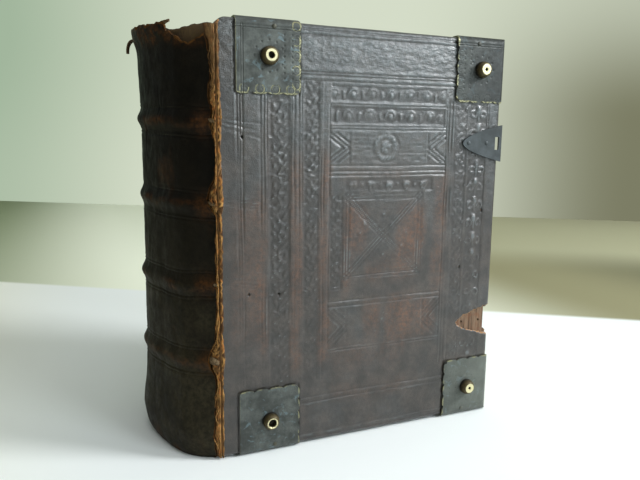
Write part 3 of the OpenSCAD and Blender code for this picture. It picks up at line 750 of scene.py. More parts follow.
def cover_layers(u, z, sunk, front):
    """Vertex values for the cover's leather: rub, bloom, crinkle, deep and ridge; bloom is partly painted sheen,
    deep partly painted shade and ridge a painted highlight.
    """
    seed = 11 if front else 51
    wander = 2.2 * cloudy(u, z, 14, seed)
    rub = sum(share * window(u + wander, u0, u1, 5) * window(z + wander, z0, z1, 16)
              for u0, u1, z0, z1, share in (RUBBED if front else RUBBED_BACK))
    rub = np.clip(rub * (0.65 + 0.6 * cloudy(u, z / 1.6, 7, seed + 7)), 0, 1)
    # Real bloom in random clouds and a painted sheen that grows towards the head, both weaker near the joint, and a
    # brighter painted band just below the head edge.
    bloom_and_painted_light = smooth(z, 110, 240) * 0.7 + 0.2 * smooth(cloudy(u, z, 16, seed + 3), -0.2, 0.7)
    bloom_and_painted_light = bloom_and_painted_light * (0.35 + 0.65 * smooth(u, 0, 40)) + 0.5 * smooth(z, HEAD_Z - 14, HEAD_Z - 5)
    # Painted shade: darker near the joint and in a thin line along the head edge.
    painted_edge_shade = 0.6 * (1 - smooth(u, 3, 24)) + smooth(z, HEAD_Z - 1.5, HEAD_Z - 0.5)
    # Painted highlight: ridge marks the raised places for a pale colour.
    return {"rub": rub, "bloom_and_painted_light": np.clip(bloom_and_painted_light, 0, 1) * (1 - 0.6 * rub),
            "crinkle": 0.3 + 0.7 * smooth(z, 205, 228),
            "deep": np.clip(np.maximum(sunk / 0.45, painted_edge_shade), 0, 1), "ridge_highlight": np.clip(-sunk / 0.2, 0, 1)}


def edge_stations(radius):
    """Stations round a wrapped edge, from under the cover to its face.

    Each has its distance in, its depth, its inset, its normal's two parts and 1 where it is past the face.
    """
    rows = [(d, TURN_V, d, 0.0, 1.0, 1) for d in np.linspace(TURN_IN, TURN_ROUND, 6)[:-1]]
    for angle in np.radians(np.linspace(90, 0, 4)[:-1]):
        c, s = math.cos(angle), math.sin(angle)
        d = TURN_ROUND * (1 - c)
        rows.append((d, TURN_V - TURN_ROUND * (1 - s), d, c, s, 1))
    rows += [(0.0, v, 0.0, 1.0, 0.0, 1) for v in np.linspace(TURN_V - TURN_ROUND, radius, 8)[:-1]]
    for angle in np.radians(np.linspace(0, 90, 7)):
        c, s = math.cos(angle), math.sin(angle)
        rows.append((radius * (1 - c), radius * (1 - s), 0.0, c, -s, 0))
    return np.array(rows)


def cut_away(u, z):
    """Distance inside the places where the front cover's leather is lost; below 0 it is still there."""
    s = u - (COVER_W - LOST_LEN)
    jag = 0.5 * value_noise(u, z, 1.7, 31) + 0.35 * value_noise(u, z, 0.8, 32)
    half = LOST_HALF * np.clip(s / LOST_LEN, 0, 2) ** 0.55
    from_tip = -np.hypot(s, z - LOST_Z)
    tongue = np.where(s > 0, np.minimum(half - np.abs(z - LOST_Z), 1.5 * s), from_tip) + jag
    catch = np.minimum(u - RECESS_U, RECESS_HALF - np.abs(z - CATCH_Z))
    lower = LOST_Z - LOST_HALF + 1.5 + 3 - 0.73 * (u - RECESS_U)
    recess = np.minimum(u - RECESS_U + 0.6, np.minimum(z - lower + 0.5, LOST_Z + LOST_HALF - 1.0 - z) + jag)
    return tongue, np.maximum(catch, recess)


def plate_gap(u, z):
    """1 in the furrow that the free edges of the corner plates have worn into the leather, which is sunk and
    painted near black as shadow.
    """
    from_head = np.minimum(HEAD_Z + BRASS - z, z - FOOT_Z + BRASS)
    side = np.where(u < COVER_W / 2, u - PLATE_INSET, COVER_W + BRASS - u)
    reach_p, reach_q = PLATE_W - 0.4, PLATE_H - 0.4
    inner = bell(side - reach_p, 0.7) * (from_head < reach_q)
    across = bell(from_head - reach_q, 0.7) * (side < reach_p) * (side > 0)
    straight = bell(side + 0.35, 0.6) * (from_head < reach_q) * (u < COVER_W / 2)
    uneven = np.clip(0.9 + 0.4 * value_noise(u, z, 3, 127), 0, 1)
    return np.maximum.reduce([0.8 * inner, 0.5 * across, straight]) * uneven


def cover_sheet(front):
    """Leather over one board: face with all its tooling, edges and turn-ins."""
    radius = WOOD_ROUND + LEATHER
    edge = edge_stations(radius)
    hole_u, hole_z = zip(*HOLES)
    marks_u = [*hole_u, *TEAR_REACH, *UPRIGHTS, *FIELD]
    marks_z = [*hole_z, *[HEAD_Z - h for h in HEAD_LINES + LEVEL_LINES], *[FOOT_Z + t for t in TAIL_LINES]]
    step = 0.86 if front else 1.25
    flat_u = lines_between(WOOD_ROUND, COVER_W - radius, step, marks_u)
    flat_z = lines_between(FOOT_Z + radius, HEAD_Z - radius, step, marks_z)
    # Columns: torn edge at the joint, the round there, the face, the wrapped fore-edge
    start_u = np.array([0.0, 0.7, 1.4])
    start_v = radius - np.sqrt(radius ** 2 - (WOOD_ROUND - start_u) ** 2)
    torn_v = np.linspace(radius, start_v[0], 5)[:-1]
    fore = edge[::-1]
    pos_u = np.concatenate([0 * torn_v, start_u, flat_u, COVER_W - fore[1:, 0]])
    deep_u = np.concatenate([torn_v, start_v, 0 * flat_u, fore[1:, 1]])
    inset_u = np.concatenate([0 * torn_v, 0 * start_u, 0 * flat_u, fore[1:, 2]])
    side_u = np.concatenate([0 * torn_v - 1, -(WOOD_ROUND - start_u) / radius, 0 * flat_u, fore[1:, 3]])
    out_u = np.concatenate([0 * torn_v + 1, 0 * start_u, 0 * flat_u, fore[1:, 5]])
    # Rows: wrapped tail, the face, the wrapped head
    pos_z = np.concatenate([FOOT_Z + edge[:-1, 0], flat_z, HEAD_Z - fore[1:, 0]])
    deep_z = np.concatenate([edge[:-1, 1], 0 * flat_z, fore[1:, 1]])
    inset_z = np.concatenate([edge[:-1, 2], 0 * flat_z, fore[1:, 2]])
    side_z = np.concatenate([-edge[:-1, 3], 0 * flat_z, fore[1:, 3]])
    out_z = np.concatenate([edge[:-1, 5], 0 * flat_z, fore[1:, 5]])
    rows, columns = len(pos_z), len(pos_u)
    u, z = np.meshgrid(pos_u, pos_z)
    v = np.maximum(*np.meshgrid(deep_u, deep_z))
    u = u * (1 - inset_z[:, None] / COVER_W)
    middle = (HEAD_Z + FOOT_Z) / 2
    z = middle + (z - middle) * (1 - 2 * inset_u[None] / (HEAD_Z - FOOT_Z))
    # Which axis the surface leans along, and how much
    by_u = deep_u[None] >= deep_z[:, None]
    lean_u = np.where(by_u, side_u[None], 0) + 0 * v
    lean_z = np.where(by_u, 0, side_z[:, None]) + 0 * v
    away = np.sqrt(np.clip(1 - lean_u ** 2 - lean_z ** 2, 0, 1)) * np.where(v > TURN_V - 1, -1, 1)
    # Depth pressed into the surface
    curved = (deep_u[None] > 0) & (deep_z[:, None] > 0)
    face = (v < 0.3)
    drift_u, drift_z = 0.35 * value_noise(u, z, 23, 108), 0.35 * value_noise(u, z, 27, 109)
    pressed = line_relief(u + drift_u, z + drift_z)
    if front:
        pressed = pressed + roll_relief(u, z) + wreath_relief(u, z)
    sunk = np.where(face, pressed, 0) * cover_wear(u, z)
    upper = smooth(z, 200, 228)
    crinkle = cloudy(u / 2.6, z, 1.9, 8) * (0.09 + 0.17 * upper)
    crinkle = crinkle + cloudy(u, z, 2.6, 9) * (0.07 + 0.06 * upper)
    crinkle = crinkle + 0.45 * smooth(z, HEAD_Z - 15, HEAD_Z - 1) ** 2
    gap = plate_gap(u, z)
    swell = 0.22 * cloudy(u, z, 45, 3, 2)
    shape = sunk + np.where(face, crinkle, 0.04 * cloudy(u + v, z, 4, 6)) + np.where(v < radius, swell, 0)
    shape = shape + np.where(face, 0.8 * gap, 0)
    layers = cover_layers(u, z, sunk + 0.8 * crinkle, front)
    # Painted shadow: near black in the furrow beside the plates' free edges.
    layers["deep"] = np.maximum(layers["deep"], 2 * gap * face)
    torn = 0 * v
    keep = np.ones((rows, columns), bool)
    if front:
        at_joint = (1 - smooth(u - tear_width(z), -0.2, 0.9)) * (v < radius)
        torn = np.where(out_u[None] * (u < 1) > 0, 1.0, at_joint)
        tongue, recess = cut_away(u, z)
        dips = smooth(tongue, -0.25, 0.55) * (v < radius)
        shape = shape + dips * (LEATHER + 0.6)
        torn = np.maximum(torn, window(tongue, -0.55, 0.7, 0.5) * (v < radius))
        torn = np.maximum(torn, 0.9 * window(recess, -0.9, 1.5, 0.6))
        keep = ~(((tongue > 1.0) & (v < radius)) | (recess > 0))
        for hole_u, hole_z in HOLES:
            near = np.hypot(u - hole_u, z - hole_z)
            shape = shape + HOLE_DEPTH * (1 - smooth(near, 0.25, 0.75)) * face
            # Painted shade: near black in the nail holes.
            layers["deep"] = np.maximum(layers["deep"], HOLE_DEPTH * (1 - smooth(near, 0.5, 0.95)) * face)
    shape = np.where(curved, 0, shape)
    layers["raw"] = torn * (0.75 + 0.25 * value_noise(u, z, 2.3, 12))
    u, z, v = u - shape * lean_u, z - shape * lean_z, v + shape * away
    # Worn corner at head and joint
    if front:
        du, dz = CORNER_WEAR - u, z - (HEAD_Z - CORNER_WEAR)
        inside = (du > 0) & (dz > 0)
        pull = np.where(inside, np.maximum(du, dz) / np.maximum(np.hypot(du, dz), 1e-9), 1)
        u = np.where(inside, CORNER_WEAR - du * pull, u)
        z = np.where(inside, HEAD_Z - CORNER_WEAR + dz * pull, z)
    face_side = -1 if front else 1
    points = np.stack([COVER_X + u, face_side * (HALF_T - v), z], -1).reshape(-1, 3)
    quads = grid_quads(rows, columns)
    both_out = (out_u[None] > 0) & (out_z[:, None] > 0)
    whole = keep & ~both_out
    quads = quads[whole.reshape(-1)[quads].all(1) | (~both_out & keep).reshape(-1)[quads].all(1)]
    if not front:
        quads = quads[:, ::-1]
    points, quads, layers = weld(points, quads, flat_layers(layers))
    quads = quads[[len(set(q)) == 4 for q in quads.tolist()]]
    side = "front" if front else "back"
    make_piece(f"{side}_cover_leather", points, quads, f"{side}_cover", "cover_leather", COVER, layers,
               replaced=[f"{side}_leather"])


# Leather of the spine

# Torn head: angle round the spine towards the front, and the height where the leather ends
TEAR = [(-64, 246.8), (-50, 247.4), (-36, 248.2), (-30, 246.8), (-25, 248.0), (-18, 247.4), (-6, 248.0),
        (4, 247.8), (12, 248.0), (17, 247.8), (20, 246.6), (25, 247.0), (29, 246.6), (36.4, 246.8), (37.4, 245.6),
        (37.9, 242.0), (42, 239.9), (45.2, 238.0), (47.2, 236.0), (50.8, 235.1), (54.4, 236.1), (56.4, 237.4),
        (59.2, 238.5), (64, 240.5)]
# Fullness of the spine against a plain round: by height, and by angle towards the front
SWELL = [(0, -1.4), (2, 0.3), (4, 1.2), (9, 2.0), (16, 3.1), (26, 2.0), (38, 0.5), (59, -0.6), (84, -0.5),
         (104, -1.0), (149, -1.4), (194, -1.5), (215, -1.3), (228, -0.8), (237, -0.3), (240, 0.4), (242, 1.9),
         (252, 2.3)]
FLATS = [(-64, 0.0), (-46, 1.4), (-24, -0.7), (-6, 0.0), (6, -1.0), (14, -1.5), (24, -1.3), (36, 0.7),
         (43, 2.2), (48, 2.4), (54, 1.9), (60, 1.0), (64, 0.4)]
# Torn strip in the front joint: height, angle where the spine's leather ends, width of the tear on the cover
STRIP = [(0, 60.4, 0.8), (20, 60.6, 0.7), (37, 61.0, 1.0), (50, 61.0, 0.8), (57, 58.2, 1.9), (65, 58.2, 2.0),
         (71, 60.9, 1.2), (91, 62.1, 1.3), (113, 62.1, 1.6), (130, 62.1, 1.8), (144, 62.7, 1.8), (151, 57.6, 2.6),
         (158, 59.1, 2.6), (164, 62.5, 1.8), (174, 63.4, 1.6), (184, 63.1, 1.6), (190, 60.6, 2.2), (200, 61.0, 2.4),
         (206, 59.8, 1.8), (211, 59.2, 1.5), (218, 61.3, 1.3), (234, 60.0, 1.5), (241, 58.4, 1.0), (250, 57.9, 0.8)]
STRIP_TOP = 244.5
# Dark crack in the strip: height, distance on the cover's side of the joint
CRACK = [(120, 0.0), (150, -0.9), (162, -0.9), (168, 0.8), (174, 2.0), (186, 2.1), (196, 1.4), (206, 1.7),
         (250, 1.6)]
# How much higher each raised band lies where the spine turns towards the back cover
BAND_RISE = [-0.5, 0.3, 3.5, 3.9]
SPINE_THICK = 1.0
OUTWARD = np.array([-0.64, -0.77, 0.0])     # away from the book at the front joint


def table(rows, x):
    """Smooth curve through the rows of a table."""
    xs, ys = np.array(rows, float).T
    fine = np.linspace(xs[0], xs[-1], 240)
    values = np.interp(fine, xs, ys)
    kernel = np.hanning(11) / np.hanning(11).sum()
    return np.interp(x, fine, np.convolve(np.pad(values, 5, "edge"), kernel, "valid"))


def tear_edge(z):
    """Angle at which the spine's leather ends along the cracked joint."""
    base = table([(row[0], row[1]) for row in STRIP], z)
    return base + 0.35 * line_noise(z, 5, 84) + 0.3 * line_noise(z, 1.3, 88)


def tear_width(z):
    """How far the tear reaches onto the front cover."""
    base = table([(row[0], row[2]) for row in STRIP], z)
    return np.clip(base + 0.3 * line_noise(z, 4, 89) + 0.25 * line_noise(z, 1.2, 90), 0.4, 5)


def torn_top(angle):
    """Height of the leather's upper edge, ragged along its whole length."""
    base = np.interp(angle, [a for a, _ in TEAR], [h for _, h in TEAR])
    return base + 0.5 * line_noise(angle, 2.1, 41) + 0.4 * line_noise(angle, 0.8, 42)


def spine_base(angle, z):
    """Distance of the spine's surface from its axis, without bands, folds and lines."""
    return SPINE_R + table(SWELL, z) + table(FLATS, angle)


def band_course(angle, k):
    """Height of a raised band's middle, which runs aslant and wanders a little."""
    return BANDS[k] + BAND_RISE[k] * (58 - angle) / 76 + 0.5 * line_noise(angle, 11, 60 + k)


def band_distance(angle, z):
    """Height above each raised band."""
    return [z - band_course(angle, k) for k in range(len(BANDS))]


def spine_shape(angle, z):
    """Distance of the spine's surface from its axis, with bands, lines, folds and cracks."""
    near = band_distance(angle, z)
    profile = [(0.5 * (1 + np.cos(np.pi * np.clip(2 * d / (BAND_W + 3), -1, 1)))) ** 0.8 for d in near]
    bands = sum(BAND_H * p * (0.9 + 0.25 * value_noise(angle, d, 9, 65 + k))
                for k, (p, d) in enumerate(zip(profile, near)))
    lines = sum(groove(np.abs(np.abs(d) - 6.6), 0.5, 0.34) + groove(np.abs(np.abs(d) - 8.4), 0.5, 0.28)
                for d in near)
    folds = 0.30 * cloudy(angle * 1.07, z, 13, 71) + 0.16 * cloudy(angle * 1.07, z / 3, 3.2, 72)
    grain = 0.10 * cloudy(angle * 1.07, z, 2.4, 75)
    creases = bell(value_noise(angle * 1.07, z / 4, 5, 73), 0.05)
    cracks = 0.35 * creases * smooth(cloudy(angle, z, 20, 74), 0, 0.6)
    return spine_base(angle, z) + bands + folds + grain - lines - cracks


def spine_sheet():
    """Leather of the spine from the front joint to the back one, torn at the head."""
    angles = lines_between(-END_ANGLE + 0.4, END_ANGLE - 0.2, 0.8)
    marks = [b + k for b in BANDS for k in (-8.4, -6.6, 6.6, 8.4)]
    levels = lines_between(FOOT_Z - 0.6, HEAD_Z, 1.0, marks + [FOOT_Z + 0.8], (-0.35, 0.0, 0.35))
    angle, z = np.meshgrid(angles, levels)
    top = torn_top(angle)
    z = np.where(z > 225, 225 + (z - 225) * (top - 225) / (HEAD_Z - 225), z)
    edge = tear_edge(z)
    angle = np.where(angle > 50, 50 + (angle - 50) * (edge - 50) / (angles[-1] - 50), angle)
    r = spine_shape(angle, z)
    joint = smooth(-angle, END_ANGLE - 3.5, END_ANGLE)
    r = r * (1 - joint) + (SPINE_R + 0.8) * joint
    r = r + (0.3 + 0.5 * value_noise(angle, z, 6, 77)) * smooth(angle, edge - 2.4, edge)
    turn = np.radians(angle)
    points = np.stack([SPINE_X - r * np.cos(turn), -r * np.sin(turn), z], -1).reshape(-1, 3)
    torn = 1 - smooth(top - z, 0.5, 2.6 + 1.6 * value_noise(angle, z, 4, 43))
    fray = 0.6 * value_noise(angle, z / 3, 5, 44) + 0.5 * value_noise(angle, z / 2, 1.6, 45)
    front_edge = 0.7 * smooth(angle + 0.5 * fray, edge - 0.9, edge - 0.2)
    deep = np.clip((spine_base(angle, z) - 0.1 - r) / 0.5, 0, 1)
    near = band_distance(angle, z)
    on_bands = np.max([window(d, -3.2, 2.0, 3) for d in near], axis=0)
    rub = 0.9 * on_bands * smooth(cloudy(angle, z, 7, 46), -0.35, 0.5)
    rub += 0.9 * smooth(17 - z, 0, 14) * smooth(cloudy(angle, z, 9, 47), -0.1, 0.45)
    rub += 1.5 * smooth(z - 0.25 * (top - 248), 234, 243) * smooth(cloudy(angle, z, 3.4, 76), -0.5, 0.3)
    rub += 0.6 * smooth(cloudy(angle, z / 2, 12, 48), 0.35, 0.8)
    rub += 1.2 * bell(angle - 57, 4.5) * np.max([bell(d, 6) for d in near], axis=0)
    # Paler towards the foot: partly bloom, partly painted light thrown up from the floor.
    bloom_and_painted_light = (1 - smooth(z, 30, 170)) * (0.55 + 0.45 * cloudy(angle, z, 14, 49))
    torn = torn * (0.6 + 0.3 * value_noise(angle, z, 2.6, 128))
    layers = {"rub": np.clip(rub, 0, 1), "bloom_and_painted_light": np.clip(bloom_and_painted_light, 0, 1), "deep": 0.7 * deep,
              "raw": np.maximum(torn, front_edge)}
    points, quads, layers = thicken(points, grid_quads(*z.shape), flat_layers(layers), SPINE_THICK)
    make_piece("spine_leather_worn", points, quads, "book_block", "spine_leather", SPINE, layers,
               sharp=50, replaced=["spine_leather"])


def on_spine(angle, r, z):
    """Place at an angle and a distance from the spine's axis."""
    turn = np.radians(angle)
    return np.stack([SPINE_X - r * np.cos(turn), -r * np.sin(turn), z + 0 * turn], -1)


def upright(x, y, z):
    """Points above each other, at the heights z."""
    return np.stack([0 * z + x, 0 * z + y, z], -1)


def bent(begin, knee, finish, share):
    """Place on the curve from begin to finish that leans towards knee."""
    return begin * (1 - share) ** 2 + 2 * knee * share * (1 - share) + finish * share ** 2


def torn_scraps():
    """Scraps of leather at the torn head: a horn beside the tear and a narrow strip that curls out."""
    along, side = np.meshgrid(np.linspace(0, 1, 13), np.linspace(-1, 1, 5))
    width = 1.3 * (1 - 0.45 * along) * (1 + 0.35 * value_noise(along * 9, side, 2, 91))
    bend = 0.5 * np.sin(3 * along)
    horn = on_spine(34.6 + 6.3 * along, SPINE_R + 2.4 + 1.2 * along ** 2,
                    245.6 + 1.1 * along ** 2 + bend + width * side)
    width = 2.3 * (1 - 0.72 * along) * (1 + 0.4 * value_noise(along * 9, side, 2, 92))
    out = 4.4 * np.sin(1.75 * along) ** 1.1
    curl = on_spine(-17.5 + 1.5 * along + width * side, SPINE_R + 1.6 + out + 0.5 * side,
                    244.6 - 8.6 * along ** 1.5 + 0.9 * np.sin(3.1 * along))
    for name, grid in (("head_horn", horn), ("head_curl", curl)):
        points, quads, layers = thicken(grid.reshape(-1, 3), grid_quads(*grid.shape[:2]), {}, 0.8)
        make_piece(name, points, quads, "book_block", "spine_leather", FLESH, layers, sharp=50)


def braid(s, z):
    """Height from 0 to 1 of loose strands that cross each other; s runs across the torn strip."""
    bend = z / 15 + 0.35 * line_noise(z, 19, 81)
    tops = []
    for k in range(3):
        middle = 0.5 + 0.36 * np.sin(2 * np.pi * (bend + k / 3) + 1.6 * line_noise(z, 9, 110 + k))
        thick = 0.15 + 0.05 * line_noise(z, 6, 120 + k)
        tops.append(bell(s - middle, thick) * (0.8 + 0.3 * line_noise(z, 5, 130 + k)))
    fibres = 0.16 * cloudy(s * 12 + 0.5 * np.sin(z / 4), z / 5, 1.5, 82)
    whole = 0.62 + 0.4 * value_noise(s * 6, z, 3.5, 83)
    plain = np.clip(1 - smooth(z, 40, 50) + smooth(z, 208, 226), 0, 1)
    return np.clip(np.max(tops, axis=0) * (1 - plain) + whole * plain + fibres, 0, 1.2)


def at_cords(z, reach):
    """1 at the raised bands, where the cords cross the joint."""
    return sum(bell(z - band, reach) for band in BANDS)


SPINE_SHARE = 0.58


def strip_section(a, begin, z, depth):
    """Curve from the spine's leather to the joint, at share a of its length."""
    corner = upright(JOINT_X - 0.6, 0.4 - HALF_T, z)
    finish = upright(JOINT_X - 0.1, depth + 0.3 - HALF_T, z)
    return bent(begin, corner, finish, a)


def joint_fibres():
    """Torn fibres in the front joint: one strip on the spine, one on the edge of the cover."""
    levels = np.arange(FOOT_Z + 0.2, STRIP_TOP, 0.45)
    crack_at = table(CRACK, levels) + 0.25 * line_noise(levels, 4, 98)
    cracked = smooth(levels, 112, 126)
    split = 0.3 + 0.5 * np.clip(line_noise(levels, 7, 97), 0, 1)
    t, z = np.meshgrid(np.linspace(0, 1, 18), levels)
    edge = tear_edge(z)
    relief = braid(SPINE_SHARE * t, z)
    width = (END_ANGLE + 1.2 - edge) * 1.07
    crack = bell((t - 1) * width - crack_at[:, None], 0.4) * cracked[:, None]
    hole = bell(t - 0.35, 0.22) * at_cords(z - 1.5, 2.4)
    begin = on_spine(edge + 0.2, spine_base(edge, z) - 0.7, z)
    place = strip_section(t[..., None], begin, z, split[:, None])
    lift = 0.8 * relief + 0.8 * at_cords(z, 4) - 1.1 * crack - 1.3 * hole
    lift = lift * np.sin(np.pi * np.clip(t, 0, 0.96)) ** 0.7
    lift = np.where(t > 0.6, np.minimum(lift, 0.9 - 1.1 * (t - 0.6)), lift)
    place += lift[..., None] * OUTWARD
    # Painted shade: darker between the strands and in the crack, near black in the holes at the cords, and dark
    # where the strip runs in under the spine's leather.
    low = np.maximum.reduce([np.clip(1.3 - 1.6 * relief, 0, 1), crack, 1.5 * hole, 1 - smooth(t, 0.02, 0.22)])
    make_piece("front_joint_fibres", place.reshape(-1, 3), grid_quads(*z.shape), "book_block",
               "spine_leather", FIBRE, {"low": low.reshape(-1)})
    t, z = np.meshgrid(np.linspace(0, 1, 16), levels)
    relief = braid(SPINE_SHARE + (1 - SPINE_SHARE) * t, z)
    u = (tear_width(z) + 0.3) * t
    bed = split[:, None] * np.clip(1 - u / 0.7, 0, 1) ** 2 + 0.5 * np.clip(1 - u / WOOD_ROUND, 0, 1) ** 2
    crack = bell(u - crack_at[:, None], 0.4) * cracked[:, None]
    lift = (0.2 + 0.4 * relief - 0.5 * crack) * np.sin(np.pi * np.clip(t * 0.9 + 0.1, 0, 0.98)) ** 0.7
    lift -= 0.25 * (t > 0.96)
    points = np.stack([COVER_X + 0.05 + u, bed - lift - HALF_T, z], -1).reshape(-1, 3)
    # Painted shade: darker between the strands and in the crack, and dark at the very edge of the joint.
    low = np.maximum.reduce([np.clip(1.3 - 1.6 * relief, 0, 1), crack, 0.9 * (1 - smooth(u, 0.0, 0.35))])
    make_piece("front_cover_torn_edge", points, grid_quads(*z.shape), "front_cover", "cover_leather", FIBRE,
               {"low": low.reshape(-1)})


def joint_strands():
    """Loose strands that stand out of the torn strip, and the broken ends of the cords."""
    random = np.random.default_rng(17)
    count = 16
    steps, thinning = np.linspace(0, 1, count), np.sin(np.linspace(0.25, math.pi - 0.25, count)) ** 0.5
    strands, ends = [], []
    for _ in range(70):
        length = random.uniform(4, 17)
        z = random.uniform(FOOT_Z + 1, STRIP_TOP - 1 - length) + length * steps
        drift = random.uniform(0.05, 0.9) + 0.22 * np.sin(steps * random.uniform(2, 7) + random.uniform(0, 6))
        a = np.clip(drift, 0, 1)[:, None]
        begin = on_spine(tear_edge(z) + 0.2, spine_base(58, z), z)
        path = strip_section(a, begin, z, 0.5)
        out = random.uniform(0.25, 0.75) * np.sin(np.pi * np.clip(a[:, 0], 0.1, 0.9)) ** 0.5
        path += out[:, None] * OUTWARD
        strands.append(tube(path, random.uniform(0.14, 0.32) * thinning, 6))
    for k, band in enumerate(BANDS):
        thick, proud = (2.2, 1.1) if k == 0 else (1.1, 0.1)
        start = on_spine(57.6, SPINE_R - 1.2, band + 1.6)
        stop = np.array([JOINT_X - 0.4, 1.2 - HALF_T, band + 0.6])
        path = start + (stop - start) * steps[:, None]
        path += proud * np.sin(np.pi * steps)[:, None] * OUTWARD
        blunt = thick * np.sin(np.linspace(0.6, math.pi - 0.6, count)) ** 0.4
        ends.append(twisted(path, blunt, 0.8, depth=0.14))
    make_piece("front_joint_strands", *joined(strands), "book_block", "spine_leather", FIBRE)
    make_piece("broken_cord_ends", *joined(ends), "book_block", "cord", DIRTY_CORD)


def back_joint():
    """Sound leather over the back joint, from the spine to the back cover."""
    levels = np.linspace(FOOT_Z + 0.4, 246.5, 160)
    t, z = np.meshgrid(np.linspace(0, 1, 13), levels)
    begin = on_spine(-END_ANGLE + 1.0 + 0 * z, SPINE_R + 0.9, z)
    finish = upright(COVER_X + 2.2, HALF_T - 0.1, z)
    knee = upright(JOINT_X - 0.6, HALF_T - 2.4, z)
    place = bent(begin, knee, finish, t[..., None])
    wrinkle = 0.14 * cloudy(t * 5, z, 2.6, 86) * np.sin(np.pi * t)
    place[..., 0] -= 0.7 * wrinkle
    place[..., 1] += 0.7 * wrinkle
    layers = {"rub": 0.5 * smooth(cloudy(t * 5, z, 9, 87), 0, 0.6), "bloom_and_painted_light": 0.3 + 0 * z}
    points, quads = place.reshape(-1, 3), grid_quads(*z.shape)
    if normals_of(points, quads)[:, 1].sum() < 0:
        quads = quads[:, ::-1]
    points, quads, layers = thicken(points, quads, flat_layers(layers), 0.7)
    half_way = len(levels) // 2
    ends = [(place * MM).tolist() for place in (begin[half_way, 0], finish[half_way, -1])]
    make_piece("back_joint_leather", points, quads, ("book_block", "back_cover", *ends), "spine_leather", SPINE,
               layers, sharp=50)


# Sewn pages and what holds them

def head_dip(angle):
    """How far the pages and their lining are worn down at the torn head."""
    return 2.6 * smooth(angle, 30, 37) * (1 - smooth(angle, 38, 60))


def text_block():
    """Sewn gatherings: a round back, a hollow fore-edge and the edges of the leaves all round."""
    low, high = corners("pages")
    random = np.random.default_rng(5)
    count = 232
    half = HALF_T - 11.2
    y = np.linspace(-half, half, count)
    lean = -np.degrees(np.arcsin(y / (SPINE_R - 4.0)))
    hollow = 7.0
    hollow_r = (half ** 2 + hollow ** 2) / (2 * hollow)
    fore_x = high[0] - hollow + hollow_r - np.sqrt(hollow_r ** 2 - y ** 2)
    gathering = 0.22 * np.abs(np.sin(np.pi * np.arange(count) / 6))
    fore_x = fore_x + random.uniform(-0.22, 0.12, count) + 0.2 * np.sin(y / 5)
    top_z = high[2] + random.uniform(-0.16, 0.06, count) - gathering * 0.5
    low_z = low[2] - random.uniform(-0.16, 0.06, count)
    t_long, t_short = np.linspace(0, 1, 46), np.linspace(0, 1, 40)
    loops, shade = [], []
    for k in range(count):
        f, lo, hi = fore_x[k], low_z[k], top_z[k]
        dip = head_dip(lean[k])
        rise = lo + (hi - dip - lo) * t_short
        back_r = np.minimum(SPINE_R - 3.0, spine_base(lean[k] + 0 * rise, rise) - 3.4)
        back = SPINE_X - np.sqrt(back_r ** 2 - y[k] ** 2) + gathering[k]
        up = np.stack([back, rise], -1)[:-1]
        b = back[-1]
        over = np.stack([b + (f - b) * t_long, hi - dip * (1 - smooth((f - b) * t_long, 2, 16))], -1)[:-1]
        b = back[0]
        down = np.stack([f + 0 * t_short, hi + (lo - hi) * t_short], -1)[:-1]
        under = np.stack([f + (b - f) * t_long, lo + 0 * t_long], -1)[:-1]
        ring = np.concatenate([up, over, down, under])
        loops.append(np.stack([ring[:, 0], np.full(len(ring), y[k]), ring[:, 1]], -1))
        shade.append(np.full(len(ring), random.uniform(0, 1) ** 2))
    grid, shade = np.array(loops), np.array(shade)
    x, wide, z = np.moveaxis(grid, -1, 0)
    wave = 0.5 * cloudy(x / 2, z / 2, 12, 93) * smooth(half - np.abs(wide), 0, 6)
    grid[..., 1] += wave
    grid = np.concatenate([grid, grid[:, :1]], axis=1)
    shade = np.concatenate([shade, shade[:, :1]], axis=1)
    rows, columns = shade.shape
    points, quads, layers = weld(grid.reshape(-1, 3), grid_quads(rows, columns), {"shade": shade.reshape(-1)})
    lookup = {tuple(np.round(p, 3)): i for i, p in enumerate(points)}
    faces = quads.tolist()
    for row in (0, rows - 1):
        rim = [lookup[tuple(np.round(p, 3))] for p in grid[row, :-1]]
        faces.append(rim if row == 0 else rim[::-1])
    make_piece("text_block", points, faces, "book_block", "pages", LEAVES, layers, sharp=40,
               replaced=["pages"])


def linings():
    """Stained parchment glued to the back of the pages between the bands, with frayed edges."""
    edges = [10.0] + BANDS + [HEAD_Z + 0.2]
    for k in range(len(edges) - 1):
        low_z = edges[k] + (4.5 if k else 0.5)
        high_z = edges[k + 1] - (4.5 if k < len(edges) - 2 else 3.2)
        angles, levels = np.linspace(-END_ANGLE + 2, END_ANGLE - 1.5, 110), np.linspace(0, 1, 30)
        angle, t = np.meshgrid(angles, levels)
        frayed = 0.3 * line_noise(angle, 1.8, 94 + k) * (t > 0.5) * (t - 0.5) * 2
        worn = head_dip(angle) if k == len(edges) - 2 else 0
        z = low_z + (high_z - worn - low_z) * t + frayed
        r = np.minimum(SPINE_R - 2.1, spine_base(angle, z) - 2.5) + 0.14 * cloudy(angle, z, 6, 95 + k)
        points = on_spine(angle, r, z).reshape(-1, 3)
        points, quads, layers = thicken(points, grid_quads(*z.shape), {}, 0.35)
        make_piece(f"spine_lining_{k + 1}", points, quads, "book_block", "parchment", PARCHMENT, layers,
                   replaced=["spine_linings"] if k == 0 else [])


def cords():
    """Hemp cords the pages are sewn on, one under each band."""
    parts = []
    for k in range(len(BANDS)):
        angle = np.linspace(-END_ANGLE + 2, END_ANGLE - 6, 190)
        level = band_course(angle, k)
        r = np.minimum(SPINE_R - 0.9, spine_base(angle, level) - 1.6)
        parts.append(twisted(on_spine(angle, r, level), 1.3, 46))
    make_piece("sewing_cords_twisted", *joined(parts), "book_block", "cord", CORD, replaced=["sewing_cords"])


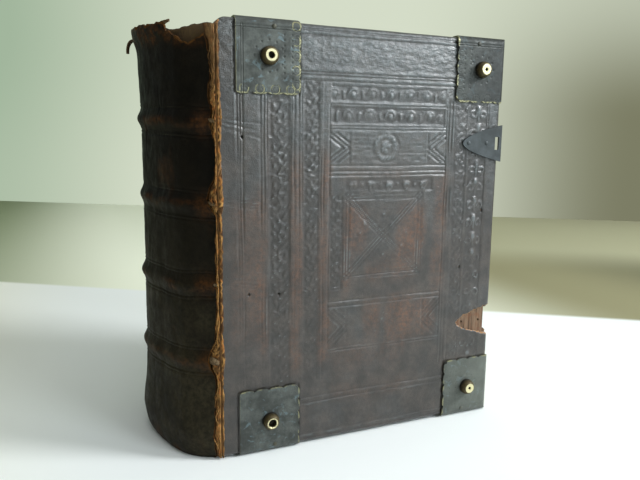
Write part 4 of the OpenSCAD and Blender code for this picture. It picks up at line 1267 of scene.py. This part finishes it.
def endbands():
    """Endbands of thread wound over a core; the one at the head is broken off at the tear."""
    for name, stop in (("headband", 30), ("tailband", 50)):
        low, high = corners(name)
        angle = np.linspace(-50, stop, 420)
        windings = 0.13 * np.abs(np.sin(np.pi * np.arange(len(angle)) / 4))
        wound = 1.42 + windings + 0.05 * line_noise(angle, 3, 96)
        path = on_spine(angle, SPINE_R - 4.2, (low[2] + high[2]) / 2 + 0.15 * np.sin(angle / 5))
        points, faces = tube(path, wound, 12)
        make_piece(name + "_wound", points, faces, "book_block", "endband", SILK, replaced=[name])


# Brass of the covers

LOBE, LOBES_UP, LOBES_ACROSS = 1.5, 5, 4
WRAP = 9.0


def lobes_of(p, q):
    """For each lobe of the free edges: how far a place lies along from its middle, and past its foot."""
    side, foot = PLATE_W - LOBE, PLATE_H - LOBE
    for count, length, along, over in ((LOBES_UP, foot, q, p - side), (LOBES_ACROSS, side, p, q - foot)):
        for k in range(count):
            yield along - (k + 0.5) * length / count, over


def arcs_of(p, q):
    """1 on the small arcs engraved along the lobed edges, which are painted pale as a highlight."""
    found = 0 * p
    for along, over in lobes_of(p, q):
        ring = np.hypot(along, over + 1.2)
        found = np.maximum(found, bell(ring - 2.5, 0.45) * (over > -3.6))
    return found


def plate_relief(p, q, head):
    """Engraving of a corner plate: p from its straight side edge, q from its bent edge."""
    depth = 1.0 if head else 0.35
    cut = sum(groove(p - line, 0.22, 0.16) + groove(q - line - 2.4, 0.22, 0.16) for line in (2.6, 3.8))
    boss_p, boss_q = PLATE_W / 2, PLATE_H / 2
    for k in range(12):
        turn = k * math.pi / 6
        cut += 0.3 * blob(p - boss_p - 8.4 * math.cos(turn), q - boss_q - 8.4 * math.sin(turn), 0.5)
    for column in (boss_p + 8.6, boss_p + 13.2):
        for k in range(-4, 5):
            cut += 0.28 * blob(p - column, q - boss_q - 2.9 * k, 0.45)
    for along, over in lobes_of(p, q):
        for ring in (1.5, 2.6):
            cut += groove(np.hypot(along, over + 0.9) - ring, 0.2, 0.2) * (over > -3.4)
    return depth * np.minimum(cut, 0.3)


def lobe(along, length, count):
    """How far a lobed edge stands out at a place along it."""
    t = (along * count / length) % 1 * 2 - 1
    return LOBE * np.sqrt(np.clip(1 - t * t, 0, 1)) * (along > 0.0)


def corner_plate(side, head, fore):
    """One bent, engraved and lobed corner plate."""
    front = side == "front"
    radius = WOOD_ROUND + LEATHER + BRASS
    step = 0.42 if front else 0.8
    angle = np.radians(np.linspace(0, 90, 8))
    round_d, round_v = radius * (1 - np.cos(angle)), radius * (1 - np.sin(angle))
    wall_v = np.linspace(WRAP, radius, 6)[:-1]

    def stations(length, wrapped):
        if not wrapped:
            flat = np.arange(0, length, step)
            flat = np.append(flat[length - flat > 0.2], length)
            return flat, 0 * flat, 0 * flat, 0 * flat
        flat = np.append(np.arange(radius + step, length - 0.2, step), length)
        place = np.concatenate([0 * wall_v, round_d, flat])
        deep = np.concatenate([wall_v, round_v, 0 * flat])
        lean = np.concatenate([0 * wall_v + 1, np.cos(angle), 0 * flat])
        return place, deep, lean, np.concatenate([0 * wall_v + 1, 0 * round_d, 0 * flat])

    length_p, length_q = PLATE_W - LOBE, PLATE_H - LOBE
    place_p, deep_p, lean_p, out_p = stations(length_p, fore)
    place_q, deep_q, lean_q, out_q = stations(length_q, True)
    p, q = np.meshgrid(place_p, place_q)
    v = np.maximum(*np.meshgrid(deep_p, deep_q))
    by_p = deep_p[None] > deep_q[:, None]
    near_p, near_q = smooth(p, length_p - 4, length_p), smooth(q, length_q - 4, length_q)
    p, q = p + near_p * lobe(q, length_q, LOBES_UP), q + near_q * lobe(p, length_p, LOBES_ACROSS)
    seed = 3 + 2 * head + fore + 10 * front
    dents = 0.10 * cloudy(p, q, 9, seed) + 0.05 * cloudy(p, q, 3, seed + 20)
    flat = (deep_p[None] == 0) & (deep_q[:, None] == 0)
    sunk = np.where(flat, plate_relief(p, q, head) + dents + 0.1, 0.0)
    lean = np.where(by_p, lean_p[None], lean_q[:, None])
    curl = np.maximum(near_p, near_q)
    # Pale edges: rubbed metal along the lobed and straight edges, and also a painted highlight there and on the
    # engraved arcs.
    edge = np.maximum(smooth(p, length_p - 0.4, length_p + 1.0), smooth(q, length_q - 0.4, length_q + 1.0))
    edge = edge * (0.35 + 0.65 * smooth(cloudy(p, q, 4.2, seed + 9, 3), -0.4, 0.4)) * (1.0 if head else 0.75)
    if head and not fore:
        edge = np.maximum(edge, arcs_of(p, q) * smooth(cloudy(p, q, 4, seed + 10, 2), -0.5, 0.1))
    edge = np.maximum(edge, (0.6 if head else 0.45) * (1 - smooth(np.minimum(p, q), 0.0, 0.9)))
    rub = edge + 0.3 * smooth(cloudy(p, q, 8, seed + 5), 0.35, 0.8)
    layers = {"rub": np.clip(rub, 0, 1), "deep": np.clip((sunk - dents - 0.1) / 0.16, 0, 1) * flat}
    v = v + sunk - 0.12 * curl * value_noise(p, q, 6, seed + 30)
    u = (COVER_W + BRASS - p) if fore else (PLATE_INSET + p)
    z = (HEAD_Z + BRASS - q) if head else (FOOT_Z - BRASS + q)
    face_side = -1 if front else 1
    points = np.stack([COVER_X + u, face_side * (HALF_T - v + BRASS), z], -1).reshape(-1, 3)
    quads = grid_quads(*p.shape)
    both_out = ((out_p[None] > 0) & (out_q[:, None] > 0)).reshape(-1)
    quads = quads[~both_out[quads].any(1)]
    points, quads, layers = weld(points, quads, flat_layers(layers))
    if normals_of(points, quads)[:, 1].sum() * face_side < 0:
        quads = quads[:, ::-1]
    points, quads, layers = thicken(points, quads, layers, BRASS - 0.25)
    place = f"{side}_plate_{'head' if head else 'tail'}_{'fore' if fore else 'joint'}"
    make_piece(place + "_engraved", points, quads, f"{side}_cover", "dark_brass", PLATE, layers,
               sharp=45, replaced=[place])


for front in (True, False):
    cover_sheet(front)
spine_sheet()
torn_scraps()
joint_fibres()
joint_strands()
back_joint()
text_block()
linings()
cords()
endbands()
for side in ("front", "back"):
    for head in (True, False):
        for fore in (True, False):
            corner_plate(side, head, fore)


# CAD nodes that stay as they are, with their materials

def dress(material, *names):
    """Gives CAD nodes their material in the object's own slots."""
    for name in names:
        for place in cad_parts[name].material_slots:
            place.link = "OBJECT"
            place.material = material


CORNERS = [f"{end}_{edge}" for end in ("head", "tail") for edge in ("joint", "fore")]
for side, sign in (("front", -1), ("back", 1)):
    dress(WOOD, f"{side}_board")
    dress(PASTE, f"{side}_pastedown")
    dress(CORD, f"{side}_lacings")
    dress(PIN, f"{side}_plate_pins")
    dress(boss_brass(f"{side}_boss_brass", HALF_T + BRASS, sign), *[f"{side}_boss_{c}" for c in CORNERS])
dress(CATCH, "catch_plate")
dress(CATCH, "catch_pins")


# Stage, light and camera

def plain_stage(name, points, material):
    mesh = bpy.data.meshes.new(name)
    mesh.from_pydata(points, [], [[0, 1, 2, 3]])
    mesh.materials.append(material)
    sheet = bpy.data.objects.new(name, mesh)
    bpy.context.scene.collection.objects.link(sheet)


# Metres: the direction square to the wall and to the far edge of the cloth, and where that edge lies
WALL_ALONG = (0.553, 0.833)
CLOTH_END = 0.263


def floor_paint():
    """Matt white floor, which takes the dull colours of the wall beyond the line of a cloth; its colours carry
    painted light and shade.
    """
    p = Paint("pale_floor")
    # Painted light and shade: the cloth is brighter and warmer to the left, duller to the right.
    left = p.mix(p.spread(p.axis(0), -0.42, -0.12), "#fdf9dc", "#f2f6f5")
    cloth = p.mix(p.spread(p.axis(0), 0.2, 0.62), left, "#d2d7d9")
    across = p.plus(*[p.times(p.axis(k), WALL_ALONG[k]) for k in (0, 1)])
    # Beyond the cloth's line: painted light and shade as on the wall, darker at the far left and darkest to the
    # right.
    table = p.mix(p.spread(p.axis(0), -0.34, -0.05), "#9aa583", "#f8fbe8")
    near = p.mix(p.spread(p.axis(0), 0.45, 0.70), "#8e8a6c", "#6b6a54")
    painted_shade = p.mix(p.spread(across, 0.50, 0.72), near, "#aaa88c")
    table = p.mix(p.spread(p.axis(0), 0.12, 0.42), table, painted_shade)
    return p.finish(p.mix(p.spread(across, CLOTH_END, CLOTH_END + 0.012), cloth, table), 0.9, specular=0.1)


def wall_paint():
    """Wall that the camera and reflections see in just the written colours: for them it glows, and its colours
    carry painted light and shade.
    """
    p = Paint("pale_wall")
    # Painted light and shade: brightest in the middle and near the floor, darker at the far left and darkest low on
    # the right.
    lit = p.plus(p.spread(p.axis(0), -0.40, 0.30), p.spread(p.axis(2), 0.0, 0.5, 0.16, -0.08))
    colour = p.mix(lit, "#a2b69d", "#d8dfcb")
    painted_shade = p.times(p.spread(p.axis(0), 0.62, 1.10), p.spread(p.axis(2), 0.24, 0.56, 1.0, 0.35))
    colour = p.mix(painted_shade, colour, "#7c7d65")
    p.finish(colour, 0.9, specular=0.1)
    path = p.tree.nodes.new("ShaderNodeLightPath").outputs
    seen = p.math("MAXIMUM", path["Is Glossy Ray"], path["Is Transmission Ray"])
    seen = p.math("MAXIMUM", path["Is Camera Ray"], seen)
    glow = p.tree.nodes.new("ShaderNodeEmission")
    p._set(glow.inputs["Color"], colour)
    both = p.tree.nodes.new("ShaderNodeMixShader")
    p._set(both.inputs[0], seen)
    p._set(both.inputs[1], p.shader.outputs[0])
    p._set(both.inputs[2], glow.outputs[0])
    p._set(p.tree.nodes["Material Output"].inputs["Surface"], both.outputs[0])
    return p.material


# Camera, from the fit of the photograph: place in millimetres and the directions it looks in
CAMERA_AT = (-150.43, -377.88, 184.87)
CAMERA_RIGHT = (0.92248, -0.38591, 0.01017)
CAMERA_DOWN = (-0.05384, -0.15468, -0.9865)
CAMERA_AHEAD = (0.38227, 0.90947, -0.16347)
LENS = 33.69


def make_camera():
    data = bpy.data.cameras.new("camera")
    data.lens = LENS
    data.sensor_width = 36
    data.clip_start = 0.01
    camera = bpy.data.objects.new("camera", data)
    turn = Matrix((CAMERA_RIGHT, -Vector(CAMERA_DOWN), -Vector(CAMERA_AHEAD))).transposed().to_4x4()
    camera.matrix_world = Matrix.Translation([c * MM for c in CAMERA_AT]) @ turn
    bpy.context.scene.collection.objects.link(camera)
    bpy.context.scene.camera = camera


def soft_light(name, at, aim, size, power, colour=(1, 1, 1)):
    data = bpy.data.lights.new(name, "AREA")
    data.shape = "DISK"
    data.size = size
    data.energy = power
    data.color = colour
    lamp = bpy.data.objects.new(name, data)
    lamp.rotation_euler = (Vector(at) - Vector(aim)).to_track_quat("Z", "Y").to_euler()
    lamp.location = at
    bpy.context.scene.collection.objects.link(lamp)


make_camera()
plain_stage("floor", [(-2.5, -2.5, 0), (2.5, -2.5, 0), (2.5, 2.5, 0), (-2.5, 2.5, 0)], floor_paint())
wall_left, wall_right = (-1.441, 2.349), (2.724, -0.416)
wall = [(*wall_left, 0), (*wall_right, 0), (*wall_right, 2.5), (*wall_left, 2.5)]
plain_stage("backdrop", wall, wall_paint())
soft_light("key", (1.25, -0.75, 0.95), (0.0, 0.0, 0.12), 0.45, 26, (0.95, 0.98, 1.0))
soft_light("window", (0.95, -1.55, 0.85), (0.0, 0.0, 0.15), 0.7, 13, (0.86, 0.95, 1.0))
soft_light("sky", (-0.1, -0.3, 1.7), (0.0, 0.0, 0.1), 1.2, 7)

world = bpy.data.worlds.new("room")
world.use_nodes = True
world.node_tree.nodes["Background"].inputs["Color"].default_value = (0.86, 0.92, 0.88, 1)
world.node_tree.nodes["Background"].inputs["Strength"].default_value = 0.3
bpy.context.scene.world = world
bpy.context.scene.view_settings.view_transform = "Standard"
